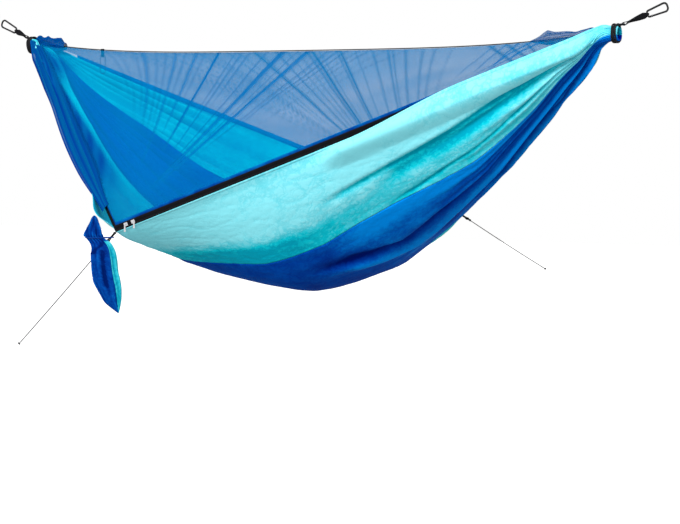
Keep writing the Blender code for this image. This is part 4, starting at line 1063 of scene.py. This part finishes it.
# Creases of the net, from the ridge to a foot on the edge: place on the ridge, half width in
# metres, strength, how far down each one reaches, and its own foot where it has one
NEAR_CREASES = ((-0.060, 0.0075, 0.62, 0.12), (0.025, 0.0065, 0.58, 0.12), (-0.444, 0.0035, 0.50, 0.20),
                (-0.562, 0.0026, 0.44, 0.40), (-0.371, 0.0024, 0.44, 0.40), (-0.289, 0.0028, 0.46, 0.36),
                (0.126, 0.0026, 0.44, 0.40), (0.778, 0.0065, 0.62, 0.05, 0.655),
                (0.740, 0.0045, 0.52, 0.1, 0.625), (0.700, 0.0035, 0.44, 0.2, 0.66),
                (0.664, 0.0030, 0.40, 0.25, 0.60), (0.63, 0.0030, 0.30, 0.3, 0.54))
FAR_CREASES = ((-0.168, 0.0046, 0.62, 0.10), (0.032, 0.0042, 0.60, 0.10), (-0.371, 0.0030, 0.46, 0.25),
               (0.126, 0.0034, 0.50, 0.15), (0.607, 0.0050, 0.55, 0.35, 0.80), (-0.636, 0.0030, 0.46, 0.35),
               (0.66, 0.0045, 0.55, 0.3, 0.84), (0.72, 0.0035, 0.45, 0.3, 0.79))
RIDGE_CLEAR = 0.0045
NET_STATIONS = 801
NET_ROWS = 44
# Height of the net's map, and its cover by place along the span
NET_MAP = 0.7
NET_COVER = ((-0.87, -0.7, 0.0, 0.5, 0.87), (0.44, 0.40, 0.38, 0.34, 0.32))
NET_FOLD_START = -0.985


def many_creases(strong, seed, count, first, last, shallow, deep):
    """The strong creases and a number of fine ones between them."""
    draw = np.random.default_rng(seed)
    fine = [(place + draw.uniform(-0.5, 0.5) * (last - first) / count, draw.uniform(0.0014, 0.0028),
             draw.uniform(0.22, 0.46), draw.uniform(shallow, deep))
            for place in np.linspace(first, last, count)]
    return list(strong) + fine


def net_folds(w, share, creases, foot):
    """How strongly creases double the net at each place of a wall."""
    marks = np.zeros((len(w), len(share)))
    for place, half, strength, reach, *own_foot in creases:
        start = own_foot[0] if own_foot else foot
        line = start + (place - start) * share
        wide = half * (0.55 + 0.9 * share) + 0.0007
        fade = smooth((share - reach) / 0.22)
        marks += strength * fade * np.exp(-((w[:, None] - line) / wide) ** 2)
    return np.clip(marks, 0, 0.9)


def make_net(name, side, low, creases, foot, node, hoods):
    """One wall of net from the border on an edge up to the ridge line."""
    w = np.linspace(-NET_LEFT_END, STRIP_END, NET_STATIONS)
    share = np.linspace(0, 1, NET_ROWS)
    start = edge_points(w, side) + UP * low
    top = ridge_points(w)
    top = top + unit(start - top) * RIDGE_CLEAR
    grid = start[:, None] + (top - start)[:, None] * share[None, :, None]
    marks = net_folds(w, share, creases, foot)
    away = np.abs(w)[:, None]
    out = unit(np.cross(np.gradient(grid, axis=0), np.gradient(grid, axis=1))) * (-side)
    out *= np.sign((out * (UP + np.array((0, side * 0.4, 0)))).sum(axis=-1, keepdims=True))
    hang = np.sin(np.pi * share)[None, :] * (1 - away ** 2)
    wave = wave_field(w[:, None], share[None, :] * NET_MAP, 0.30, 8, 41 + side) * hang
    gather = np.sin(2 * np.pi * w[:, None] / 0.021 + 3 * wave) * smooth((share[None, :] - 0.72) / 0.28)
    gather = gather * 0.0004 * (0.4 + smooth((away - 0.45) / 0.3))
    grid = grid - UP * (NET_SAG * hang)[..., None]
    grid = grid + out * (0.004 * marks * hang + 0.0022 * wave + gather * hang ** 0.3)[..., None] + MIDDLE
    cover = np.interp(w, *NET_COVER)[:, None]
    cover = cover + 0.03 * wave + 0.05 * smooth((share[None, :] - 0.9) / 0.1)
    cover = 1 - (1 - np.clip(cover, 0, 0.9)) * (1 - marks)
    deep = 0.6 * marks
    if side < 0:
        band = smooth((-0.22 - w) / 0.2)[:, None] * smooth((0.16 - share[None, :]) / 0.06)
        band = np.maximum(band, smooth((-0.70 - w) / 0.14)[:, None] * smooth((0.75 - share[None, :]) / 0.5))
        cover = cover + (0.86 - cover) * band
        deep = np.maximum(deep, 0.95 * band * (0.8 + 0.2 * np.sin(w[:, None] * 70 + 46 * share[None, :])))
    mesh = grid_mesh(name, grid, w[:, None], share[None, :] * NET_MAP, {"cover": cover, "deep": deep})
    piece = add_piece(name, mesh, NET_FINISH)
    piece.visible_shadow = False
    piece.visible_diffuse = False
    thicken(piece, NET)
    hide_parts(node)


HOOD_STATIONS = 97
HOOD_SIDES = 180


def make_hood(name, side, rise, spread, ruffles, start, end, seed, cover, deep, first_share):
    """The net gathered on the ridge line into an uneven pleated sleeve."""
    w = np.linspace(start, end, HOOD_STATIONS)
    mark = (w - start) / (end - start)
    angles = full_turn(HOOD_SIDES)
    draw = np.random.default_rng(seed)
    open_part = np.interp(mark, (0, 0.2, 0.75, 1), (first_share, 1.0, 0.85, 0.20))
    pleats = np.zeros((len(w), len(angles)))
    for count in (7, 11, 17, 26):
        phase = draw.uniform(0, 2 * np.pi)
        drift = 2.4 * mark * draw.uniform(0.7, 1.6) + draw.uniform(0, 6)
        phase = phase + 2.2 * np.sin(drift)
        pleats += np.sin(count * angles[None, :] + phase[:, None]) / math.sqrt(count)
    height = np.full(len(w), rise)
    for _ in range(ruffles):
        height += rise * 0.55 * bump(mark, draw.uniform(0.05, 0.9), 0.06) * draw.uniform(-0.6, 1.0)
    top = np.cos(angles)[None, :] > 0
    radius_up = (height * open_part)[:, None]
    radius_down = (rise * 0.8 * open_part)[:, None]
    tall = np.where(top, radius_up, radius_down) * np.cos(angles)[None, :]
    wide = (spread * open_part)[:, None] * np.sin(angles)[None, :]
    shape = 1 + 0.20 * pleats
    centre = ridge_points(side * w)
    grid = (centre[:, None] + UP * (tall * shape)[..., None]
            + np.array((0.0, 1.0, 0.0)) * (wide * shape)[..., None]) + MIDDLE
    grid[..., 0] += side * 0.004 * pleats * open_part[:, None]
    folded = np.clip(np.abs(pleats) - 0.35, 0, 1) + 0.7 * np.exp(-(pleats / 0.10) ** 2)
    marks = {"cover": np.clip(cover + 0.50 * folded, 0, 0.97), "deep": np.clip(deep + 0.5 * folded, 0, 1)}
    mesh = grid_mesh(name, grid, w[:, None], 0.02 * np.abs(angles - np.pi)[None, :], marks, around=True)
    turn_out(mesh)
    piece = add_piece(name, mesh, NET_FINISH)
    thicken(piece, NET)
    return piece


def make_net_fold():
    """The slack net folded out over the zip and the edge on the way down to the near corner."""
    w = np.linspace(NET_FOLD_START, LEFT_FLAP_PLACE, 241)
    part = np.linspace(0, 1, 33)
    foot = edge_points(w, -1)
    wall = unit(ridge_points(w) - foot - UP * NEAR_NET_LOW)
    full = smooth((w - NET_FOLD_START) / 0.06) * smooth((LEFT_FLAP_PLACE - w) / 0.16)
    drop = 0.018 * smooth((-0.66 - w) / 0.16) - 0.005
    bow = left_bow(w)
    start = foot + UP * NEAR_NET_LOW + wall * (0.012 + 0.030 * full)[:, None] + LEFT_OUTWARD * 0.0028
    belly = foot + UP * 0.022 + LEFT_OUTWARD * (0.0070 + 0.0075 * full + 0.7 * bow)[:, None]
    hem = foot - UP * (drop * full - 0.010 * (1 - full))[:, None]
    hem = hem + LEFT_OUTWARD * (0.0065 + 0.0065 * full + bow)[:, None]
    share = part[None, :, None]
    grid = (start[:, None] * (1 - share) ** 2 + belly[:, None] * 2 * share * (1 - share)
            + hem[:, None] * share ** 2)
    run = np.sin(21 * part[None, :] + 2.6 * np.sin(4.6 * w)[:, None] + 0.6)
    ridges = run + 0.7 * np.sin(37 * part[None, :] - 9 * w[:, None] + 1.7)
    grid = grid + LEFT_OUTWARD * (0.0020 * ridges * full[:, None] * np.sin(np.pi * part)[None, :])[..., None]
    grid = grid + MIDDLE
    fold = np.clip(0.5 + 0.36 * ridges, 0, 1)
    fold = np.maximum(fold, smooth((part - 0.80) / 0.12)[None, :])
    marks = {"cover": (0.66 + 0.30 * fold) * smooth(part / 0.16)[None, :], "deep": 0.35 + 0.65 * fold}
    mesh = grid_mesh("left_net_fold", grid, w[:, None], 0.05 * part[None, :], marks)
    piece = add_piece("left_net_fold", mesh, NET_FINISH)
    thicken(piece, NET)
    return piece


# Cords and webbing

BAND_CORD = 0.005
BAND_RADIUS = 0.0251
BAND_SETBACK = 0.010
BAND_TURN_SHIFT = 0.0052
BIGHT_REACH = 0.022
SLING_ANGLE = {-1: math.radians(26.0), 1: math.radians(20.0)}
SLING_LENGTH = {-1: 0.050, 1: 0.0725}
WEBBING = 0.0016
HOOK_BAR = 0.0058
LOOSE = 0.0008
FREE = 0.0003


def sling_way(side):
    """Way that a sling pulls: side -1 at the left and 1 at the right."""
    angle = SLING_ANGLE[side]
    return np.array((side * math.cos(angle), 0.0, math.sin(angle)))


def bight_point(side):
    """Where the cord round a gathered end stands out for the sling."""
    return np.array((side * (1 - BAND_SETBACK + BIGHT_REACH), 0.0, BAND_RADIUS - NECK_DROP))


def bar_point(side):
    """Centre of the snap hook's narrow bar."""
    return bight_point(side) + sling_way(side) * SLING_LENGTH[side]


def loop_outline(length, start_radius, end_radius, middle):
    """Flat outline of a loop round two bars: along and off its centre line."""
    outline = []
    turns = np.radians(np.linspace(90, 270, 17))
    outline.extend((start_radius * math.cos(turn), start_radius * math.sin(turn)) for turn in turns)
    places = np.linspace(0, length, 41)[1:-1]
    near = 1 - smooth(places / (4 * start_radius))
    last = 1 - smooth((length - places) / (4 * end_radius))
    legs = middle + (start_radius - middle) * near + (end_radius - middle) * last
    outline.extend((place, -leg) for place, leg in zip(places, legs))
    turns = np.radians(np.linspace(-90, 90, 17))
    outline.extend((length + end_radius * math.cos(turn), end_radius * math.sin(turn)) for turn in turns)
    outline.extend((place, leg) for place, leg in zip(places[::-1], legs[::-1]))
    return np.array(outline)


def make_webbing(name, start, end, bars, acrosses, widths, thickness, node):
    """An endless webbing loop round a bar at each end, turned between them."""
    length = np.linalg.norm(end - start)
    along = (end - start) / length
    first = unit(acrosses[0] - along * acrosses[0].dot(along))
    last = unit(acrosses[1] - along * acrosses[1].dot(along))
    turn = math.atan2(along.dot(np.cross(first, last)), first.dot(last))
    outline = loop_outline(length, bars[0] + thickness / 2, bars[1] + thickness / 2, thickness / 2 + FREE)
    share = smooth(outline[:, 0] / length)[:, None]
    across = first * np.cos(turn * share) + np.cross(along, first) * np.sin(turn * share)
    off_way = np.cross(along, across)
    width = np.interp(outline[:, 0], [place for place, _ in widths], [size for _, size in widths])
    centre = start + along * outline[:, :1] + off_way * outline[:, 1:]
    marks = np.linspace(-0.5, 0.5, 9)
    grid = centre[:, None] + across[:, None] * (width[:, None] * marks)[..., None]
    grid = np.concatenate([grid, grid[:1]]) + MIDDLE
    full = np.append(width, width[0])
    mesh = grid_mesh(name, grid, lengths_along(grid[:, 4])[:, None], full[:, None] * marks[None, :])
    turn_out(mesh, SEAM_MERGE)
    piece = add_piece(name, mesh, BLACK_TAPE)
    thicken(piece, thickness)
    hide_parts(node)


def knot_points(centre, way, size):
    """Closed route of a small tight knot."""
    side = unit(np.cross(way, np.array((0.13, 0.4, 0.9))))
    other = np.cross(way, side)
    turn = full_turn(72)[:, None]
    return (centre + side * size * (np.sin(turn) + 2 * np.sin(2 * turn)) / 2.4
            + other * size * (np.cos(turn) - 2 * np.cos(2 * turn)) / 2.4
            + way * size * -np.sin(3 * turn) / 1.6)


def make_ridge_line():
    """The ridge line, tied to the eye of the sling at both ends."""
    route = []
    for side in (-1, 1):
        bight = bight_point(side)
        bend = [ridge_points(np.array(side * 0.95)), ridge_points(np.array(side * 0.972)),
                bight + np.array((-side * 0.0135, 0, -0.0045)), bight + np.array((-side * 0.0055, 0, 0))]
        route.append(flow_line(bend, 19))
    straight = ridge_points(np.linspace(-0.95, 0.95, 61))
    path = np.concatenate([route[0][::-1], straight[1:-1], route[1]]) + MIDDLE
    piece = add_tube("ridge_line_cord", path, RIDGE_CORD / 2, 14, BLACK_CORD, closed=False)
    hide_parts("ridge_line")
    for side, name in ((-1, "left_ridge_hitch"), (1, "right_ridge_hitch")):
        middle = ridge_points(np.array(side * 0.968)) + MIDDLE
        knot = knot_points(middle, np.array((1.0, 0, 0)), 0.0034)
        add_tube(name, knot, 0.0013, 10, BLACK_CORD)


def make_ridge_loop():
    """A webbing loop on the ridge line and the thin cord that hangs from it."""
    top = ridge_points(np.array(-0.72))
    low = top - UP * 0.020
    level = np.array((1.0, 0.0, 0.0))
    make_webbing("ridge_loop_web", top, low, (RIDGE_CORD / 2 + LOOSE, 0.001 + LOOSE), (level, level),
                 [(0, 0.010)], 0.001, "ridge_loop")
    foot = low - UP * 0.045
    path = []
    for place, rise, start in ((low, 0.0016, 0), (foot, 0.0096, 180)):
        for turn in np.radians(np.linspace(start, start + 180, 15)):
            path.append(place + np.array((0.0096 * math.cos(turn), 0, rise * math.sin(turn))))
    pendant = add_tube("pendant_cord", np.array(path) + MIDDLE, 0.001, 10, BLACK_CORD)
    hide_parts("ridge_pendant")


def make_ends():
    """Cord round both gathered ends, and the slings that go to the snap hooks."""
    for side, name in ((-1, "left"), (1, "right")):
        turn = full_turn(128)
        angle = turn - 0.6 * np.sin(turn)
        from_top = np.minimum(angle, 2 * np.pi - angle)
        reach = BIGHT_REACH * np.exp(-(from_top / 0.42) ** 4)
        path = np.stack([side * (1 - BAND_SETBACK + reach), BAND_RADIUS * np.sin(angle),
                         BAND_RADIUS * np.cos(angle) - NECK_DROP], 1)
        band = add_tube(name + "_band_cord", path + MIDDLE, BAND_CORD / 2, 14, BLACK_CORD)
        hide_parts(name + "_end_band")
        for index, shift in enumerate((-BAND_TURN_SHIFT, BAND_TURN_SHIFT)):
            flat = path.copy()
            flat[:, 0] = side * (1 - BAND_SETBACK + shift) + 0.0010 * np.sin(3 * angle + index)
            add_tube(f"{name}_band_turn_{index + 1}", flat + MIDDLE, BAND_CORD / 2, 14, BLACK_CORD)
        length = SLING_LENGTH[side]
        widths = [(0, 0.006), (length * 0.3, 0.010), (length - 0.012, 0.018), (length - 0.006, 0.0144),
                  (length, 0.0048)]
        back = np.array((0.0, 1.0, 0.0))
        make_webbing(name + "_sling_web", bight_point(side), bar_point(side),
                     (BAND_CORD / 2 + LOOSE, HOOK_BAR / 2 + FREE),
                     (back, np.cross(back, sling_way(side))), widths, WEBBING, name + "_sling")


# Corner loops and guy lines

CORNER_LOOP = 0.032
GUY_CORD = 0.0025
KNOT = 0.0034
SMALL_KNOT = 0.0023
GUY_ENDS = {"near": np.array((-0.376, -0.900, -0.854)), "far": np.array((0.371, 1.000, -0.749))}


def make_corner(name, corner):
    """Webbing loop at a corner, with the guy line's eye, cord and end knot."""
    finish = GUY_ENDS[name]
    way = unit(finish - corner)
    across = unit(np.cross(UP, way))
    start = corner + way * (0.0006 + WEBBING + 0.0006 + 0.00035)
    end = corner + way * CORNER_LOOP
    make_webbing(name + "_corner_web", start, end, (0.0006, GUY_CORD / 2 + LOOSE), (across, across),
                 [(0, 0.014), (0.010, 0.008)], WEBBING, name + "_corner_loop")
    centre = end + way * (0.0062 - GUY_CORD - LOOSE + FREE)
    turn = full_turn(56)[:, None]
    ring = centre + way * 0.0062 * np.cos(turn) + across * 0.0071 * np.sin(turn)
    knot = centre + way * (0.0062 + 0.0024)
    eye = add_tube(name + "_eye", ring + MIDDLE, GUY_CORD / 2, 12, BLACK_CORD)
    bead = add_tube(name + "_eye_knot", knot_points(knot + MIDDLE, way, SMALL_KNOT), 0.0011, 10, BLACK_CORD)
    eye = join_pieces([eye, bead])
    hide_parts(name + "_guy_knot")
    first = knot + way * (KNOT + FREE)
    last = finish - way * (KNOT - 0.0004)
    share = np.linspace(0, 1, 34)[:, None]
    path = first * (1 - share) + last * share - UP * 0.0015 * np.sin(np.pi * share) + MIDDLE
    tip = add_tube(name + "_end_knot", knot_points(finish + MIDDLE, way, SMALL_KNOT), 0.0011, 10, GREY_CORD)
    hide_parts(name + "_guy_end_knot")
    line = add_tube(name + "_line", path, GUY_CORD / 2, 12, GREY_CORD, closed=False)
    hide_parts(name + "_guyline")


# Stuff sack, measured from the end of the near corner's loop

SACK_TURN = math.radians(28.0)
SACK_ACROSS = np.array((math.cos(SACK_TURN), math.sin(SACK_TURN), 0.0))
SACK_BACK = np.cross(UP, SACK_ACROSS)
SACK_CORD = 0.0025
SACK_NECK = 5
SACK_SIDES = 144
SACK_SEAM_TURNS = (-1.00, 0.95)
# Height, half width, half depth, shift across and shift back of each section
SACK_SECTIONS = ((0.070, 0.002, 0.002, -0.035, -0.020), (0.065, 0.0068, 0.005, -0.0350, -0.020),
                 (0.056, 0.0110, 0.007, -0.0355, -0.020), (0.035, 0.0180, 0.009, -0.0372, -0.020),
                 (0.018, 0.0215, 0.010, -0.0375, -0.020), (0.009, 0.0215, 0.009, -0.0340, -0.020),
                 (-0.004, 0.0265, 0.012, -0.0200, -0.023),
                 (-0.022, 0.030, 0.015, -0.012, -0.028), (-0.046, 0.033, 0.016, -0.009, -0.030),
                 (-0.082, 0.034, 0.017, -0.005, -0.028), (-0.106, 0.035, 0.017, -0.001, -0.028),
                 (-0.125, 0.033, 0.016, 0.004, -0.028), (-0.153, 0.026, 0.012, 0.011, -0.027),
                 (-0.172, 0.019, 0.008, 0.016, -0.026), (-0.197, 0.002, 0.002, 0.029, -0.025))


def sack_folds(height, angle, mark):
    """Folds of the sack: share of its half width added at each place, and its painted shading."""
    body = smooth((0.004 - height) / 0.03)
    ruffle = smooth((height - 0.006) / 0.010)
    long_folds = (0.7 * np.sin(3 * angle + 7 * height + 0.6) + 0.7 * np.sin(7 * angle - 12 * height + 2.1)
                  + 0.5 * np.sin(12 * angle + 18 * height + 1.0))
    dents = wave_field(height, angle * 0.030, 0.075, 10, 51, 3.0)
    dents = 0.5 * dents + 0.35 * crease(wave_field(height, angle * 0.03, 0.030, 12, 52, 2.2))
    pleats = np.sin(17 * angle + 2 * np.sin(angle)) * np.exp(-((height - 0.009) / 0.017) ** 2)
    waves = np.sin(4 * angle + 1.2 + 60 * height) + 0.6 * np.sin(7 * angle - 40 * height)
    ends = smooth(mark / 0.06) * smooth((1 - mark) / 0.05)
    front_fold = np.exp(-((angle + 1.62 - 1.2 * (height + 0.05)) / 0.20) ** 2)
    front_fold = front_fold * smooth((-0.020 - height) / 0.01) * smooth((height + 0.135) / 0.02)
    band = np.exp(-((height + 0.010 - 0.024 * np.cos(angle)) / 0.0048) ** 2) * smooth(-3 * np.sin(angle))
    add = (0.07 * band + 0.060 * long_folds * body + 0.045 * dents + 0.10 * pleats + 0.13 * waves * ruffle
           - 0.22 * front_fold) * ends
    # Painted shading: lighter on the crests of folds, dents, pleats and waves, painted shade in their hollows
    # and the front fold, and darker along the band.
    shading_tone = (0.40 + 0.14 * long_folds * body + 0.12 * dents + 0.22 * pleats + 0.18 * waves * ruffle
            - 0.5 * front_fold - 0.45 * band)
    return add, np.clip(shading_tone, 0, 1)


def make_sack(hang):
    """A slack sack with folds, a gathered neck and a ruffled mouth above it."""
    heights = flow_line(np.array(SACK_SECTIONS), 161)
    angle = full_turn(SACK_SIDES) - np.pi
    height, half_width, half_depth, sideways, backward = (column[:, None] for column in heights.T)
    mark = np.linspace(0, 1, len(heights))[:, None]
    add, shading_tone = sack_folds(height + 0 * angle, angle + 0 * height, mark)
    squared = 1 / (np.abs(np.cos(angle)) ** 2.4 + np.abs(np.sin(angle)) ** 2.4) ** (1 / 2.4)
    reach = squared[None, :] * (1 + add)
    across = sideways + half_width * reach * np.cos(angle)
    back = backward + half_depth * reach * np.sin(angle)
    grid = hang + UP * height[..., None] + SACK_ACROSS * across[..., None] + SACK_BACK * back[..., None]
    strip = smooth((angle + 1.02) / 0.06) * smooth((0.95 - angle) / 0.06) * smooth((0.002 - height) / 0.004)
    mesh = grid_mesh("sack_body", grid + MIDDLE, 0.068 - height, angle[None, :] * 0.030,
                     {"shading_tone": shading_tone, "inside": strip}, around=True, caps=True)
    turn_out(mesh)
    piece = add_piece("sack_body", mesh, SACK, body="sack")
    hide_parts("stuff_sack")
    rows = grid[42:150:2]
    for index, turn in enumerate(SACK_SEAM_TURNS):
        column = round((turn + np.pi) / (2 * np.pi) * SACK_SIDES) % SACK_SIDES
        line = rows[:, column] + 0.0004 * unit(rows[:, column] - rows.mean(axis=1))
        seam = add_tube(f"sack_seam_{index + 1}", line + MIDDLE, 0.0007, 8, SACK,
                        closed=False, body="sack")
        for mark_name, value in (("shading_tone", 0.3), ("inside", 0.0)):
            set_mark(seam.data, mark_name, np.full(len(seam.data.vertices), value))


def make_drawcord(hang):
    """One cord round the sack's neck and over the corner loop."""
    height, half_width, half_depth, sideways, backward = SACK_SECTIONS[SACK_NECK]
    way = unit(GUY_ENDS["near"] - NEAR_CORNER)
    strap = way * (height / way[2])
    strap_place = (strap.dot(SACK_ACROSS), strap.dot(SACK_BACK))
    clear = SACK_CORD / 2 + LOOSE + FREE
    outline = []
    for angle in full_turn(36):
        outline.append(Vector((sideways + (half_width * 1.08 + clear) * math.cos(angle),
                               backward + (half_depth * 1.08 + clear) * math.sin(angle))))
        outline.append(Vector((strap_place[0] + (0.0059 + clear) * math.cos(angle),
                               strap_place[1] + (0.0077 + clear) * math.sin(angle) - 0.0030)))
    hull = [outline[index] for index in geometry.convex_hull_2d(outline)]
    route = flow_line([(point.x, point.y) for point in hull + hull[:1]], 121)[:-1]
    path = hang + UP * height + SACK_ACROSS * route[:, :1] + SACK_BACK * route[:, 1:]
    piece = add_tube("drawcord_line", path + MIDDLE, SACK_CORD / 2, 12, BLUE_CORD, body="sack")
    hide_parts("sack_drawcord")


# Setting

def make_stage():
    """White floor and background, soft lights and the camera."""
    bpy.ops.mesh.primitive_plane_add(size=FLOOR_SIZE, location=(MIDDLE[0], 0, FLOOR))
    floor = bpy.context.object
    floor.name = "floor"
    material, maker, shader = new_material("white floor")
    set_values(shader, Base_Color=(FLOOR_GREY, FLOOR_GREY, FLOOR_GREY, 1), Roughness=0.9,
               Emission_Color=(1, 1, 1, 1))
    path = maker.nodes.new("ShaderNodeLightPath")
    glow = maker.math('MULTIPLY', path.outputs["Is Camera Ray"], FLOOR_GLOW)
    maker.put(shader.inputs["Emission Strength"], glow)
    floor.data.materials.append(material)

    world = bpy.data.worlds.new("studio")
    bpy.context.scene.world = world
    world.use_nodes = True
    maker = Maker(world.node_tree)
    path = maker.nodes.new("ShaderNodeLightPath")
    seen = maker.math('MAXIMUM', path.outputs["Is Camera Ray"], path.outputs["Is Glossy Ray"])
    seen = maker.math('MAXIMUM', seen, path.outputs["Is Transmission Ray"])
    strength = maker.nodes.new("ShaderNodeMapRange")
    strength.inputs["To Min"].default_value = WORLD_LIGHT
    strength.inputs["To Max"].default_value = 1.0
    maker.put(strength.inputs["Value"], seen)
    backdrop = maker.nodes["Background"]
    backdrop.inputs["Color"].default_value = (1, 1, 1, 1)
    maker.put(backdrop.inputs["Strength"], strength.outputs["Result"])

    lamp = bpy.data.lights.new("window", 'SUN')
    lamp.energy = SUN_LIGHT
    lamp.angle = math.radians(SUN_SOFTNESS)
    sun = bpy.data.objects.new("window", lamp)
    sun.rotation_euler = (math.radians(SUN_TILT), 0, math.radians(SUN_TURN))
    bpy.context.scene.collection.objects.link(sun)

    data = bpy.data.cameras.new("camera")
    data.lens = LENS
    data.sensor_width = SENSOR
    camera = bpy.data.objects.new("camera", data)
    camera.location = CAMERA_PLACE
    camera.rotation_euler = (math.radians(90 + CAMERA_TILT), 0, math.radians(CAMERA_TURN))
    bpy.context.scene.collection.objects.link(camera)
    bpy.context.scene.camera = camera
    bpy.context.scene.view_settings.view_transform = 'Standard'


make_stage()
finish_nodes()
make_corner("near", NEAR_CORNER)
make_corner("far", FAR_CORNER)
make_ridge_line()
make_ridge_loop()
make_ends()
make_cloth()
NEAR_BORDER, FAR_BORDER = make_strips()
LEFT_HOOD = make_hood("left_net_gather", -1, rise=0.021, spread=0.0165, ruffles=6, start=0.862, end=0.985,
                      seed=61, cover=0.64, deep=0.62, first_share=0.6)
RIGHT_HOOD = make_hood("right_net_gather", 1, rise=0.0165, spread=0.012, ruffles=9, start=0.735, end=0.976,
                       seed=62, cover=0.28, deep=0.40, first_share=0.10)
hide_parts("left_net_hood")
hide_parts("right_net_hood")
make_net("near_net_wall", -1, NEAR_NET_LOW, many_creases(NEAR_CREASES, 71, 24, -0.70, 0.34, 0.25, 0.65),
         -CORNER_W, "near_net", [LEFT_HOOD, make_net_fold()])
make_net("far_net_wall", 1, FAR_NET_LOW, many_creases(FAR_CREASES, 72, 28, -0.78, 0.50, 0.10, 0.45),
         0.05, "far_net", [RIGHT_HOOD])
SACK_HANG = NEAR_CORNER + unit(GUY_ENDS["near"] - NEAR_CORNER) * CORNER_LOOP
make_sack(SACK_HANG)
make_drawcord(SACK_HANG)
